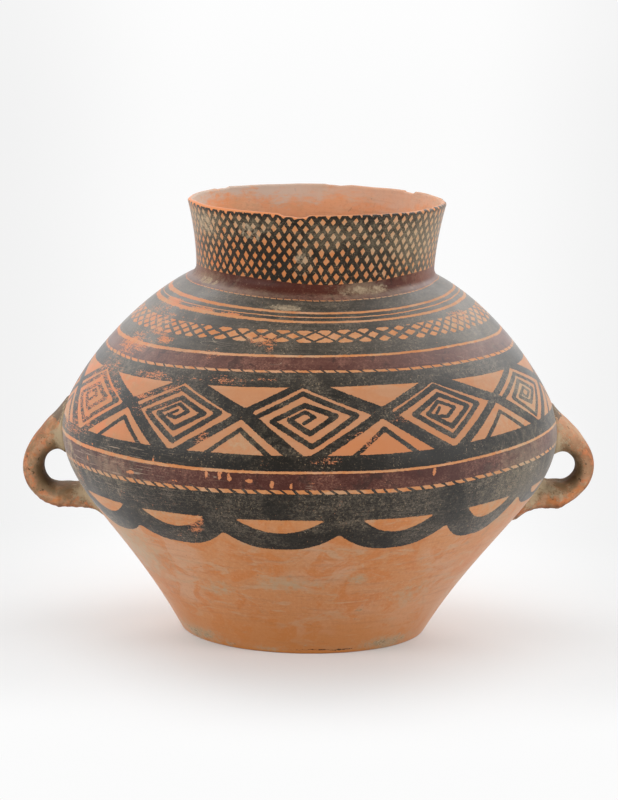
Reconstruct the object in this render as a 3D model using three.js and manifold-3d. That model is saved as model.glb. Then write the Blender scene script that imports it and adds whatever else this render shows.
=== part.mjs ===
// Two-handled painted earthenware storage jar, in millimetres, +Z up.
// The origin is the centre of the underside of the base. The handles lie along X.
import * as THREE from 'three';
import { mergeVertices } from 'three/addons/utils/BufferGeometryUtils.js';
import Module from 'manifold-3d';

// Base slab: the round of clay that the walls are coiled up on
const baseRadius = 96;
const slabThickness = 9;
const baseFlare = 0.6; // how far the wall leans out for each millimetre that it rises

// Body: a low cone that swells to its widest circle, then a domed shoulder
const bellyRadius = 194.5;
const bellyHeight = 161.5;
const coneRise = 81; // how far up from the slab the straight flare of the cone carries
const bellyFullnessBelow = 47; // length of the upright stretch just under the widest circle
const bellyFullnessAbove = 29.5; // and just over it
const shoulderSlope = 2.3; // run of the shoulder for each millimetre of rise, at the neck
const shoulderRise = 21; // height over which the shoulder keeps that slope
const wall = 6.5;

// Neck collar: rises nearly upright from the shoulder and opens to a thin rounded lip
const neckFootRadius = 93;
const neckHeight = 58;
const jarHeight = 340;
const rimRadius = 101;
const neckUprightShare = 0.42; // share of the neck's height that stays upright
const neckWall = 6.5;
const lipThickness = 4.6;

// Loop handles: one strap of clay on each side, just below the widest circle
const handleProjection = 30; // how far a strap stands out past the widest circle
const holeWidth = 24;
const strapWidth = 31; // measured round the jar
const strapSquareness = 2.5; // 2 is an oval section, more is squarer
const rootSpread = 0.35; // how much wider a strap is where it joins the wall
const rootFlare = 3.5; // how late and how sharply a strap thickens towards the wall
const tailFlare = 7; // how far the foot of a strap runs down the wall
const tailCurve = 4; // how sharply that foot turns down
const seatGap = 0.3; // clearance between a strap and the curved wall that it is luted to

// The left handle was shaped a little heavier and hung a little lower than the right one
const leftHoleDrop = 36; // from the widest circle down to the middle of the hole
const leftHoleHeight = 27;
const leftStrapThickness = 17;
const leftTopRootHeight = 34;
const leftLowerRootHeight = 19.5;
const rightHoleDrop = 29;
const rightHoleHeight = 23.5;
const rightStrapThickness = 15;
const rightTopRootHeight = 29;
const rightLowerRootHeight = 22.5;

// The hand-built jar leans a little towards +X
const leanAtRim = 5;

// Facets
const turnSegments = 72;
const wallSteps = 10;
const neckSteps = 6;
const lipSteps = 4;
const sectionPoints = 14;
const loopSteps = 14;
const tailSteps = 5;
const bisections = 30;

const neckFootHeight = jarHeight - neckHeight;
const wallFootRadius = baseRadius + baseFlare * slabThickness;
const handleReach = bellyRadius + handleProjection;

const leftHandle = {
  name: 'handle_left',
  side: -1,
  holeCentreHeight: bellyHeight - leftHoleDrop,
  holeHeight: leftHoleHeight,
  strapThickness: leftStrapThickness,
  topRootHeight: leftTopRootHeight,
  lowerRootHeight: leftLowerRootHeight,
};
const rightHandle = {
  name: 'handle_right',
  side: 1,
  holeCentreHeight: bellyHeight - rightHoleDrop,
  holeHeight: rightHoleHeight,
  strapThickness: rightStrapThickness,
  topRootHeight: rightTopRootHeight,
  lowerRootHeight: rightLowerRootHeight,
};

const clay = { color: 0xc9855a, roughness: 0.85, metalness: 0 };
const paintedClay = { color: 0x5a4a42, roughness: 0.7, metalness: 0 };
const handleClay = { color: 0xb97b55, roughness: 0.85, metalness: 0 };

const wasm = await Module();
wasm.setup();

const point = (radius, height) => new THREE.Vector2(radius, height);

const coneCurve = () => new THREE.CubicBezierCurve(
  point(wallFootRadius, slabThickness),
  point(wallFootRadius + baseFlare * coneRise, slabThickness + coneRise),
  point(bellyRadius, bellyHeight - bellyFullnessBelow),
  point(bellyRadius, bellyHeight),
);

const shoulderCurve = () => new THREE.CubicBezierCurve(
  point(bellyRadius, bellyHeight),
  point(bellyRadius, bellyHeight + bellyFullnessAbove),
  point(neckFootRadius + shoulderSlope * shoulderRise, neckFootHeight - shoulderRise),
  point(neckFootRadius, neckFootHeight),
);

const neckCurve = () => new THREE.QuadraticBezierCurve(
  point(neckFootRadius, neckFootHeight),
  point(neckFootRadius, neckFootHeight + neckHeight * neckUprightShare),
  point(rimRadius, jarHeight - lipThickness / 2),
);

// The same curve moved along its own normals, to the right of its direction when positive
function offsetPoints(curve, steps, distance) {
  const points = [];
  for (let i = 0; i <= steps; i += 1) {
    const place = curve.getPoint(i / steps);
    const along = curve.getTangent(i / steps);
    points.push(point(place.x + along.y * distance, place.y - along.x * distance));
  }
  return points;
}

// The lower and the upper wall meet in a flat ring at the widest circle
const bellyInside = () => point(bellyRadius - wall, bellyHeight);

// Bare closed mesh with shared corners
function weld(geometry) {
  geometry.deleteAttribute('normal');
  geometry.deleteAttribute('uv');
  return mergeVertices(geometry);
}

// A section turned about Z. Its outline runs up the outside and down the inside.
function turned(section) {
  const geometry = new THREE.LatheGeometry(section, turnSegments);
  geometry.rotateX(Math.PI / 2);
  return weld(geometry);
}

function baseSlab() {
  return turned([
    point(0, 0), point(baseRadius, 0), point(wallFootRadius, slabThickness), point(0, slabThickness),
  ]);
}

function lowerWall() {
  const outside = coneCurve().getPoints(wallSteps);
  const inside = offsetPoints(coneCurve(), wallSteps, -wall).slice(1, -1);
  const footInside = point(wallFootRadius - wall * Math.hypot(1, baseFlare), slabThickness);
  return turned([...outside, bellyInside(), ...inside.reverse(), footInside, outside[0]]);
}

function upperWall() {
  const outside = shoulderCurve().getPoints(wallSteps);
  const inside = offsetPoints(shoulderCurve(), wallSteps, -wall).slice(1);
  const topInside = point(neckFootRadius - neckWall, neckFootHeight);
  return turned([...outside, topInside, ...inside.reverse(), bellyInside(), outside[0]]);
}

// The lip is a half round that joins the outside of the neck to its inside
function neckCollar() {
  const outside = neckCurve().getPoints(neckSteps);
  const inside = outside.map((place, i) => {
    const thickness = neckWall + (lipThickness - neckWall) * (i / neckSteps);
    return point(place.x - thickness, place.y);
  });
  const lip = [];
  for (let i = 1; i < lipSteps; i += 1) {
    const turn = (Math.PI * i) / lipSteps;
    const radius = lipThickness / 2;
    lip.push(point(rimRadius - radius + radius * Math.cos(turn),
      jarHeight - radius + radius * Math.sin(turn)));
  }
  return turned([...outside, ...lip, ...inside.reverse(), outside[0]]);
}

// Each station of a strap is a pair of points: on its inner face and on its outer face.
// The first are in the upper root, the middle ones go round the hole, the last run to the wall.
function strapStations(handle) {
  const centre = handleReach - handle.strapThickness - holeWidth / 2;
  const halfHeight = handle.holeHeight / 2;
  const quarterTurn = Math.PI / 2;
  const onLoop = (turn) => {
    const rise = Math.abs(turn) / quarterTurn;
    const root = turn > 0 ? handle.topRootHeight : handle.lowerRootHeight;
    const thickness = handle.strapThickness + (root - handle.strapThickness) * rise ** rootFlare;
    const hole = point((holeWidth / 2) * Math.cos(turn), halfHeight * Math.sin(turn));
    const out = hole.clone().setLength(hole.length() + thickness);
    const middle = point(centre, handle.holeCentreHeight);
    return { inner: hole.add(middle), outer: out.add(middle), spread: 1 + rootSpread * rise ** rootFlare };
  };
  const top = onLoop(quarterTurn);
  const foot = onLoop(-quarterTurn);
  // The upper root ends inside the wall's thickness, below the widest circle
  const rootEnd = point(bellyRadius - wall, 0);
  const stations = [{
    inner: point(rootEnd.x, top.inner.y), outer: point(rootEnd.x, top.outer.y + wall), spread: top.spread,
  }];
  for (let i = 0; i <= loopSteps; i += 1) {
    stations.push(onLoop(quarterTurn * (1 - (2 * i) / loopSteps)));
  }
  const footHeight = foot.outer.y - tailFlare;
  const footEnd = wallRadiusAt(footHeight) - wall;
  for (let i = 1; i <= tailSteps; i += 1) {
    const share = i / tailSteps;
    const radius = centre + (footEnd - centre) * share;
    stations.push({
      inner: point(radius, foot.inner.y),
      outer: point(radius, foot.outer.y - tailFlare * share ** tailCurve),
      spread: foot.spread,
    });
  }
  return stations;
}

// Outer radius of the cone at a height
function wallRadiusAt(height) {
  const curve = coneCurve();
  let low = 0;
  let high = 1;
  for (let i = 0; i < bisections; i += 1) {
    const middle = (low + high) / 2;
    if (curve.getPoint(middle).y < height) low = middle;
    else high = middle;
  }
  return curve.getPoint(low).x;
}

// A strap on the +X side: one rounded section at each station, joined and closed at both ends
function strap(handle) {
  const stations = strapStations(handle);
  const bulge = (value) => Math.sign(value) * Math.abs(value) ** (2 / strapSquareness);
  const positions = [];
  for (const { inner, outer, spread } of stations) {
    const middle = inner.clone().add(outer).multiplyScalar(0.5);
    const half = outer.clone().sub(inner).multiplyScalar(0.5);
    for (let i = 0; i < sectionPoints; i += 1) {
      const turn = (2 * Math.PI * i) / sectionPoints;
      const reach = bulge(Math.cos(turn));
      const width = (strapWidth / 2) * spread * bulge(Math.sin(turn));
      positions.push(middle.x + half.x * reach, width, middle.y + half.y * reach);
    }
  }
  const last = stations.length - 1;
  for (const end of [stations[0], stations[last]]) {
    positions.push((end.inner.x + end.outer.x) / 2, 0, (end.inner.y + end.outer.y) / 2);
  }
  const startCentre = stations.length * sectionPoints;
  const faces = [];
  for (let i = 0; i < sectionPoints; i += 1) {
    const next = (i + 1) % sectionPoints;
    for (let ring = 0; ring < last; ring += 1) {
      const here = ring * sectionPoints;
      const beyond = here + sectionPoints;
      faces.push(here + i, beyond + i, here + next, here + next, beyond + i, beyond + next);
    }
    faces.push(startCentre, i, next);
    faces.push(startCentre + 1, last * sectionPoints + next, last * sectionPoints + i);
  }
  const geometry = new THREE.BufferGeometry();
  geometry.setAttribute('position', new THREE.Float32BufferAttribute(positions, 3));
  geometry.setIndex(faces);
  return geometry;
}

// The space that a strap keeps clear of: the jar's outside, grown by the seat gap
function jarOutside() {
  const cone = offsetPoints(coneCurve(), wallSteps, seatGap);
  const shoulder = offsetPoints(shoulderCurve(), wallSteps, seatGap).slice(1);
  const section = [point(0, slabThickness), ...cone, ...shoulder, point(0, neckFootHeight)];
  return turned(section);
}

function toManifold(geometry) {
  const vertProperties = geometry.getAttribute('position').array;
  const triVerts = Uint32Array.from(geometry.getIndex().array);
  return new wasm.Manifold(new wasm.Mesh({ numProp: 3, vertProperties, triVerts }));
}

function fromManifold(solid) {
  const mesh = solid.getMesh();
  const geometry = new THREE.BufferGeometry();
  geometry.setAttribute('position', new THREE.Float32BufferAttribute(mesh.vertProperties, 3));
  geometry.setIndex(Array.from(mesh.triVerts));
  return geometry;
}

function loopHandle(handle) {
  const geometry = strap(handle);
  if (handle.side < 0) geometry.rotateZ(Math.PI);
  return fromManifold(toManifold(geometry).subtract(toManifold(jarOutside())));
}

// Moves each point sideways in step with its height
function lean(geometry) {
  const leanPerHeight = leanAtRim / jarHeight;
  return geometry.applyMatrix4(new THREE.Matrix4().makeShear(0, 0, 0, 0, leanPerHeight, 0));
}

const jar = new THREE.Group();

function addPiece(name, geometry, finish) {
  const mesh = new THREE.Mesh(lean(geometry), new THREE.MeshStandardMaterial(finish));
  mesh.name = name;
  jar.add(mesh);
}

addPiece('base_slab', baseSlab(), clay);
addPiece('lower_wall', lowerWall(), clay);
addPiece('upper_wall', upperWall(), paintedClay);
addPiece('neck_collar', neckCollar(), paintedClay);
for (const handle of [leftHandle, rightHandle]) addPiece(handle.name, loopHandle(handle), handleClay);

export default jar;
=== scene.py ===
"""Painted earthenware storage jar: the dressed model over the CAD frame, with its studio stage."""
import math
from typing import NamedTuple

import bmesh
import bpy
import numpy as np
from bpy.props import FloatProperty, FloatVectorProperty, IntProperty, PointerProperty
from mathutils import Matrix, Vector


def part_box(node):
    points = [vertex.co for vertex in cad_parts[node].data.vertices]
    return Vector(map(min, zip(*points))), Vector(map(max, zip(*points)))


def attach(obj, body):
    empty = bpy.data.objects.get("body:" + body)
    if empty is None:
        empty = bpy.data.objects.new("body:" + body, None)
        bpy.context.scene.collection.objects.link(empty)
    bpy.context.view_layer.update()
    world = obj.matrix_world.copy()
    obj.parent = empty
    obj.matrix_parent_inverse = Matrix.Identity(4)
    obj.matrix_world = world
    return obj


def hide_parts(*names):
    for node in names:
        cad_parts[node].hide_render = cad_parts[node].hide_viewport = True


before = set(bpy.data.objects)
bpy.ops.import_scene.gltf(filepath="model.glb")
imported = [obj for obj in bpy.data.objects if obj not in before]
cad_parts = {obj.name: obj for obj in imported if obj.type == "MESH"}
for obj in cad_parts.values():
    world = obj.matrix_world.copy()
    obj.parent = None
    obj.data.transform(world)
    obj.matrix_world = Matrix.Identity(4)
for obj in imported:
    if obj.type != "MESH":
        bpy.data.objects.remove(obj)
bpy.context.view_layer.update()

bl_info = {
    "name": "Painted storage jar",
    "version": (1, 0, 0),
    "blender": (4, 5, 0),
    "location": "View3D > Sidebar > Jar",
    "description": "Builds a two-handled painted earthenware jar piece by piece, and the stage it stands on",
    "category": "Object",
}

MM = 0.001
BODY = "root"
_, slab_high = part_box("base_slab")
_, lower_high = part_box("lower_wall")
neck_low, neck_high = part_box("neck_collar")


def length(name, description, millimetres, least=0.0):
    return FloatProperty(name=name, description=description, default=millimetres * MM, min=least,
                         unit="LENGTH", subtype="DISTANCE", precision=4)


def colour(name, description, red, green, blue):
    return FloatVectorProperty(name=name, description=description, default=(red, green, blue), size=3,
                               min=0.0, max=1.0, subtype="COLOR")


class JarSizes(bpy.types.PropertyGroup):
    """Sizes of the hand-built walls."""
    foot_radius: length("Foot radius", "Radius of the flat underside", 96.0)
    slab_thickness: length("Slab thickness", "Thickness of the base slab", slab_high[2] / MM)
    slab_top_radius: length("Slab top radius", "Radius of the base slab's upper face", slab_high[1] / MM)
    cone_flare: FloatProperty(name="Cone flare", description="Lean of the wall above the foot, as run over rise",
                              default=0.6)
    cone_rise: length("Cone rise", "Height over which the straight flare carries", 81.0)
    belly_radius: length("Belly radius", "Radius at the widest circle", lower_high[1] / MM)
    belly_height: length("Belly height", "Height of the widest circle", lower_high[2] / MM)
    fullness_below: length("Fullness below", "Upright stretch just under the widest circle", 47.0)
    fullness_above: length("Fullness above", "Upright stretch just over the widest circle", 29.5)
    shoulder_slope: FloatProperty(name="Shoulder slope", default=2.3,
                                  description="Run of the shoulder over its rise, at the neck")
    shoulder_rise: length("Shoulder rise", "Height over which the shoulder keeps its slope", 21.0)
    neck_foot_radius: length("Neck foot radius", "Radius where the neck stands on the shoulder", 93.0)
    neck_foot_height: length("Neck foot height", "Height where the neck stands on the shoulder", neck_low[2] / MM)
    rim_radius: length("Rim radius", "Outer radius of the lip", neck_high[1] / MM)
    jar_height: length("Jar height", "Height of the lip", neck_high[2] / MM)
    neck_upright: FloatProperty(name="Neck upright share", description="Share of the neck that stays upright",
                                default=0.42, min=0.0, max=1.0)
    wall: length("Wall", "Thickness of the walls", 6.5)
    lip: length("Lip", "Thickness of the lip", 4.6)
    crease_reach: length("Crease reach", "How far the smoothed crease runs to each side of the neck foot", 6.0)
    lean: length("Lean", "How far the lip stands off centre", 5.0)
    waver: length("Waver", "Deepest hollow of the hand-built surface", 1.1)
    columns: IntProperty(name="Columns", description="Steps round the jar", default=800, min=24)


class JarColours(bpy.types.PropertyGroup):
    """Colours of the clay and of the paints."""
    clay: colour("Clay", "Fired orange clay", 0.50, 0.214, 0.083)
    clay_pale: colour("Pale clay", "Paler clay in patches", 0.52, 0.285, 0.165)
    clay_deep: colour("Deep clay", "More saturated clay in patches", 0.50, 0.175, 0.05)
    black: colour("Black paint", "Charcoal black paint", 0.0065, 0.0045, 0.0022)
    black_worn: colour("Worn black paint", "Thin, rubbed black paint", 0.105, 0.083, 0.06)
    maroon: colour("Maroon paint", "Dark red paint", 0.05, 0.0095, 0.005)
    maroon_worn: colour("Worn maroon paint", "Thin, rubbed dark red paint", 0.19, 0.08, 0.054)
    soil: colour("Soil", "Beige soil that clings to the surface", 0.38, 0.30, 0.19)
    # the inside and lip clay is paler than the outside's: partly painted light, for the light that falls into the
    # mouth and on the lip
    inside: colour("Inside clay", "Paler orange clay of the inside and the lip", 0.625, 0.305, 0.177)
    handle: colour("Handle clay", "Browner clay of the handles", 0.31, 0.172, 0.092)
    handle_outer: colour("Handle's outer face", "Redder clay outside on the handles", 0.17, 0.066, 0.028)
    # dull brown in the loops: partly soil, partly painted shade inside the loops
    handle_hollow_soil_and_shade: colour("Handle's hollow", "Dull brown of the faces in the loops", 0.16, 0.112, 0.062)
    floor: colour("Floor", "Pale floor", 0.72, 0.72, 0.72)


def sizes():
    return bpy.context.scene.jar_sizes


def colours():
    return bpy.context.scene.jar_colours


# ---- outline of the jar: radius and height along the outside, from the foot to the lip ----

def bezier(points, steps):
    t = np.linspace(0.0, 1.0, steps)[:, None]
    a, b, c, d = (np.array(p, float) for p in points)
    return (1 - t) ** 3 * a + 3 * (1 - t) ** 2 * t * b + 3 * (1 - t) * t * t * c + t ** 3 * d


def cone_points():
    z = sizes()
    return [(z.slab_top_radius, z.slab_thickness),
            (z.slab_top_radius + z.cone_flare * z.cone_rise, z.slab_thickness + z.cone_rise),
            (z.belly_radius, z.belly_height - z.fullness_below),
            (z.belly_radius, z.belly_height)]


def shoulder_points():
    z = sizes()
    return [(z.belly_radius, z.belly_height),
            (z.belly_radius, z.belly_height + z.fullness_above),
            (z.neck_foot_radius + z.shoulder_slope * z.shoulder_rise, z.neck_foot_height - z.shoulder_rise),
            (z.neck_foot_radius, z.neck_foot_height)]


def neck_points():
    z = sizes()
    top = z.jar_height - z.lip / 2
    upright = (z.jar_height - z.neck_foot_height) * z.neck_upright
    knee = np.array((z.neck_foot_radius, z.neck_foot_height + upright))
    foot = np.array((z.neck_foot_radius, z.neck_foot_height))
    rim = np.array((z.rim_radius, top))
    return [tuple(foot), tuple(foot + (knee - foot) * 2 / 3), tuple(rim + (knee - rim) * 2 / 3), tuple(rim)]


class Outline:
    """The outside in section. Run is the distance along it from the edge of the underside."""

    def __init__(self, steps=800):
        z = sizes()
        cone, shoulder, neck = (bezier(p, steps) for p in (cone_points(), shoulder_points(), neck_points()))
        points = np.concatenate([[(z.foot_radius, 0.0)], cone, shoulder[1:], neck[1:],
                                 [(z.rim_radius, z.jar_height)]])
        self.points = points
        self.run = np.concatenate([[0.0], np.cumsum(np.hypot(*np.diff(points, axis=0).T))])
        self.crease = float(np.interp(z.neck_foot_height, points[:, 1], self.run))
        self.reach = z.crease_reach

    def at_height(self, height):
        return np.interp(height, self.points[:, 1], self.run)

    def sharp(self, run):
        return np.stack([np.interp(run, self.run, self.points[:, i]) for i in (0, 1)], -1)

    def place(self, run):
        """Radius and height, with the crease at the neck foot smoothed."""
        run = np.asarray(run, float)
        plain = self.sharp(run)
        t = np.clip((run - self.crease + self.reach) / (2 * self.reach), 0.0, 1.0)[..., None]
        low, knee, high = (self.sharp(np.array(self.crease + d)) for d in (-self.reach, 0.0, self.reach))
        smooth = (1 - t) ** 2 * low + 2 * t * (1 - t) * knee + t * t * high
        return np.where((t > 0) & (t < 1), smooth, plain)


def hand_waver(turn, height):
    """Hollows of a hand-built wall, in metres: always inwards, and the same for every piece."""
    z = height / sizes().jar_height
    wave = (0.9 * np.sin(2 * turn + 0.6 + 2.2 * z) + 0.8 * np.sin(3 * turn + 2.9 - 5.0 * z)
            + 0.5 * np.sin(5 * turn + 1.1 + 9.0 * z) + 0.4 * np.sin(9 * turn + 4.0 - 16.0 * z)
            + 0.3 * np.sin(14 * turn + 25.0 * z) + 0.25 * np.sin(4 * turn + 33.0 * z))
    return sizes().waver * (0.5 + 0.5 * np.clip(wave / 2.6, -1, 1))


# ---- node trees ----

def maths_node(operation, swapped=False):
    """A method that adds a maths node for a value and another one."""
    def method(self, other):
        return self.wires.maths(operation, *((other, self) if swapped else (self, other)))
    return method


class Value:
    """An output in a node tree. Arithmetic and comparisons with it add maths nodes."""

    def __init__(self, wires, socket):
        self.wires, self.socket = wires, socket

    __add__, __radd__ = maths_node("ADD"), maths_node("ADD", True)
    __sub__, __rsub__ = maths_node("SUBTRACT"), maths_node("SUBTRACT", True)
    __mul__, __truediv__ = maths_node("MULTIPLY"), maths_node("DIVIDE")
    __gt__, __lt__ = maths_node("GREATER_THAN"), maths_node("LESS_THAN")

    def __abs__(self):
        return self.wires.maths("ABSOLUTE", self)


class Wires:
    """Short calls for building a node tree."""

    def __init__(self, tree):
        self.tree, self.nodes = tree, tree.nodes

    def put(self, value, socket):
        """Links a value to a socket, or sets the socket to a constant."""
        if isinstance(value, Value):
            self.tree.links.new(value.socket, socket)
        elif socket.type == "RGBA" and len(value) == 3:
            socket.default_value = (*value, 1.0)
        else:
            socket.default_value = value

    def node(self, kind, values=(), **settings):
        node = self.nodes.new(kind)
        for name, value in settings.items():
            setattr(node, name, value)
        for name, value in dict(values).items():
            self.put(value, node.inputs[name])
        return node

    def out(self, node, output=0):
        return Value(self, node.outputs[output])

    def split(self, vector):
        node = self.node("ShaderNodeSeparateXYZ", {0: vector})
        return [self.out(node, axis) for axis in "XYZ"]

    def maths(self, operation, *values, clamp=False):
        return self.out(self.node("ShaderNodeMath", enumerate(values), operation=operation, use_clamp=clamp))

    def times_plus(self, value, factor, added):
        return self.maths("MULTIPLY_ADD", value, factor, added)

    def most(self, first, *others):
        for other in others:
            first = self.maths("MAXIMUM", first, other)
        return first

    def mix(self, factor, first, second, kind="MIX"):
        node = self.node("ShaderNodeMix", data_type="RGBA", blend_type=kind, clamp_factor=True)
        sockets = {socket.identifier: socket for socket in (*node.inputs, *node.outputs)}
        for value, name in ((factor, "Factor_Float"), (first, "A_Color"), (second, "B_Color")):
            self.put(value, sockets[name])
        return Value(self, sockets["Result_Color"])

    def layers(self, tone, tints):
        """Lays each tint over the tone as far as its mask says."""
        for mask, tint in tints:
            tone = self.mix(mask, tone, tint)
        return tone

    def noise(self, vector, scale, detail=3.0, rough=0.55, warp=0.0):
        return self.out(self.node("ShaderNodeTexNoise", {"Vector": vector, "Scale": scale, "Detail": detail,
                                                         "Roughness": rough, "Distortion": warp}))

    def ease(self, value, low, high, to_low=0.0, to_high=1.0):
        return self.out(self.node("ShaderNodeMapRange", {"Value": value, "From Min": low, "From Max": high,
                                                         "To Min": to_low, "To Max": to_high},
                                  interpolation_type="SMOOTHSTEP"))

    def stretch(self, vector, x, y, z):
        return self.out(self.node("ShaderNodeMapping", {"Vector": vector, "Scale": (x, y, z)}))

    def place(self):
        return self.out(self.node("ShaderNodeTexCoord"), "Object")

    def field(self, label):
        return self.out(self.node("ShaderNodeAttribute", attribute_name=label), "Fac")

    def group(self, tree, values):
        node = self.node("ShaderNodeGroup", values, node_tree=tree)
        return {socket.name: Value(self, socket) for socket in node.outputs}

    def surface(self, end, factor, first, second):
        """Mixes two shaders into the tree's output node."""
        blend = self.node("ShaderNodeMixShader", {0: factor, 1: first, 2: second})
        self.put(self.out(blend), self.nodes[end].inputs["Surface"])


def but_not(mask, other):
    return mask * (1.0 - other)


def made_once(kind, name):
    """The builder runs once in a file. Later calls hand back what is there by that name."""
    def wrap(build):
        def found_or_built():
            return getattr(bpy.data, kind).get(name) or build(name)
        return found_or_built
    return wrap


def new_group(name, kind, inputs, outputs):
    """An empty group: its wires, its inputs as values, and the sockets that take its results."""
    tree = bpy.data.node_groups.new(name, kind)
    for in_out, labels in (("OUTPUT", outputs), ("INPUT", inputs)):
        for label, socket_kind, *default in labels:
            socket = tree.interface.new_socket(name=label, in_out=in_out, socket_type="NodeSocket" + socket_kind)
            if default:
                socket.default_value = default[0]
    w = Wires(tree)
    given = {socket.name: Value(w, socket) for socket in w.nodes.new("NodeGroupInput").outputs if socket.name}
    return w, given, w.nodes.new("NodeGroupOutput").inputs


# ---- Geometry Nodes: a skin turned about the jar's axis ----

SECTION_RESOLUTION = 1000
WELD, SEAM_WELD = 0.01 * MM, 0.02 * MM


@made_once("node_groups", "Turned skin")
def turned_skin_tree(name):
    """A grid wrapped round the axis: its columns go round, its rows follow a curve in section."""
    w, given, made = new_group(
        name, "GeometryNodeTree",
        [("Start", "Vector"), ("Start handle", "Vector"), ("End handle", "Vector"), ("End", "Vector"),
         ("Columns", "Int"), ("Rows", "Int"), ("Crowding", "Float"), ("Lean", "Float"), ("Material", "Material")],
        [("Geometry", "Geometry")])
    w.tree.is_modifier = True
    section = w.node("GeometryNodeCurvePrimitiveBezierSegment",
                     {"Start": given["Start"], "Start Handle": given["Start handle"],
                      "End Handle": given["End handle"], "End": given["End"], "Resolution": SECTION_RESOLUTION},
                     mode="POSITION")
    grid = w.node("GeometryNodeMeshGrid", {"Size X": 1.0, "Size Y": 1.0, "Vertices X": given["Columns"] + 1,
                                           "Vertices Y": given["Rows"] + 1})
    x, y, _ = w.split(w.out(w.node("GeometryNodeInputPosition")))
    turn = x * (2 * math.pi)
    rise = w.maths("POWER", y + 0.5, given["Crowding"])
    sample = w.node("GeometryNodeSampleCurve", {"Curves": w.out(section, "Curve"), "Factor": rise},
                    mode="FACTOR", use_all_curves=True)
    radius, _, height = w.split(w.out(sample, "Position"))
    place = w.node("ShaderNodeCombineXYZ", {
        "X": radius * w.maths("SINE", turn) + height * given["Lean"],
        "Y": radius * (w.maths("COSINE", turn) * -1),
        "Z": height})
    move = w.node("GeometryNodeSetPosition", {"Geometry": w.out(grid, "Mesh"), "Position": w.out(place)})
    close = w.node("GeometryNodeMergeByDistance", {"Geometry": w.out(move), "Distance": WELD})
    real = w.node("GeometryNodeRealizeInstances", {0: w.out(close)})
    dress = w.node("GeometryNodeSetMaterial", {"Geometry": w.out(real), "Material": given["Material"]})
    w.put(w.out(dress), made["Geometry"])
    return w.tree


def turned_skin(points, rows, material, crowding=1.0):
    """Vertices and quads of one skin, evaluated from the tree."""
    tree = turned_skin_tree()
    carrier = bpy.data.objects.new("skin", bpy.data.meshes.new("skin"))
    bpy.context.collection.objects.link(carrier)
    modifier = carrier.modifiers.new("Turned skin", "NODES")
    modifier.node_group = tree
    ids = {item.name: item.identifier for item in tree.interface.items_tree
           if item.item_type == "SOCKET" and item.in_out == "INPUT"}
    for label, (radius, height) in zip(("Start", "Start handle", "End handle", "End"), points):
        modifier[ids[label]] = (float(radius), 0.0, float(height))
    for label, value in (("Columns", sizes().columns), ("Rows", rows), ("Crowding", crowding),
                         ("Lean", sizes().lean / sizes().jar_height), ("Material", material)):
        modifier[ids[label]] = value
    shaped = carrier.evaluated_get(bpy.context.evaluated_depsgraph_get())
    mesh = bpy.data.meshes.new_from_object(shaped)
    bpy.data.objects.remove(carrier)
    corners = np.empty(len(mesh.vertices) * 3)
    mesh.vertices.foreach_get("co", corners)
    faces = [tuple(p.vertices) for p in mesh.polygons]
    bpy.data.meshes.remove(mesh)
    return corners.reshape(-1, 3), faces


# ---- the painted rings ----

# Where each ring runs, in millimetres along the outline, at 75, 50 and 25 degrees to the left of the front,
# at the front, and at 25, 50 and 75 degrees to the right. At the back it is halfway between its two ends.
# The last three numbers say how thick it is drawn at the left, the front and the right.
RING_TURNS = (-75.0, -50.0, -25.0, 0.0, 25.0, 50.0, 75.0)
RINGS = [
    ("cord ring", (170, 170.5, 172.6, 175.8, 175.9, 182.2, 186.3), (0.8, 1.05, 0.6)),
    ("lower maroon top", (188.8, 188.7, 188.7, 191, 192, 197.9, 201.6), (1.5, 0.85, 0.9)),
    ("lozenge band foot", (199.7, 200.5, 201.4, 202.7, 204.2, 210.2, 212.7), (1, 1, 1)),
    ("lozenge band top", (250.3, 251.6, 254.3, 257.4, 259.2, 258.5, 258.3), (1, 1, 1)),
    ("twisted ring", (264.3, 263.6, 267.8, 270.5, 270.5, 272, 271.5), (1, 0.9, 1)),
    ("upper maroon top", (277.7, 279, 281.8, 284.2, 285.2, 287.5, 286.5), (1.4, 0.9, 1)),
    ("shoulder net foot", (290.8, 292.1, 294.6, 296.1, 297.1, 298, 298.3), (1, 1, 1)),
    ("shoulder net top", (306.2, 305.8, 306.7, 308, 310.6, 314, 315.6), (1, 1, 1)),
    ("third hoop", (319.3, 318.6, 316.8, 315.8, 317.6, 321.1, 325.1), (1.5, 1, 1.1)),
    ("second hoop", (324.1, 323.2, 321.6, 320.1, 321.6, 326.2, 330.3), (1, 1, 1.1)),
    ("first hoop", (330.5, 329.2, 327, 325.1, 327, 331.4, 335.4), (1.7, 1, 1)),
    ("collar ring", (344.9, 343.7, 341.2, 339.1, 341.2, 345.7, 350.3), (1, 1, 1)),
    ("neck net foot", (360.5, 360.5, 359.5, 356.4, 358, 362, 362.6), (1, 1, 1)),
]
# How far the neck net stops short under the lip, in millimetres, at these degrees
NET_TOP_TURNS = (-75.0, -45.0, -15.0, 5.0, 75.0, 180.0)
NET_TOP_LAG = (1.2, 1.9, 0.6, 0.2, 0.0, 0.6)
WHOLE_TURN = np.arange(-180, 181)
OUTLINE_END = 400.0
# The spread, in degrees, of the bell curve that smooths a ring, and how far to each side it is followed
EVENING, EVENING_REACH = 6.5, 20
# Half of a ring's height, and how far from its middle the map is stretched to draw it thicker or thinner
RING_HALF, RING_SPREAD = 2.0, 4.5
# The height where the net's top starts to lag, and the height over which the lag grows to its full size
LAG_FOOT, LAG_SPAN = 396.0, 14.0


def ring_course(heights):
    """A ring's distance along the outline at each whole degree round the jar, drawn as one smooth line."""
    turns = (*RING_TURNS, 180.0)
    plain = np.interp(WHOLE_TURN[:-1], turns, (*heights, (heights[0] + heights[-1]) / 2), period=360)
    reach = np.arange(-EVENING_REACH, EVENING_REACH + 1)
    weight = np.exp(-0.5 * (reach / EVENING) ** 2)
    smooth = sum(w * np.roll(plain, r) for r, w in zip(reach, weight)) / weight.sum()
    return np.append(smooth, smooth[0])


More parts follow.
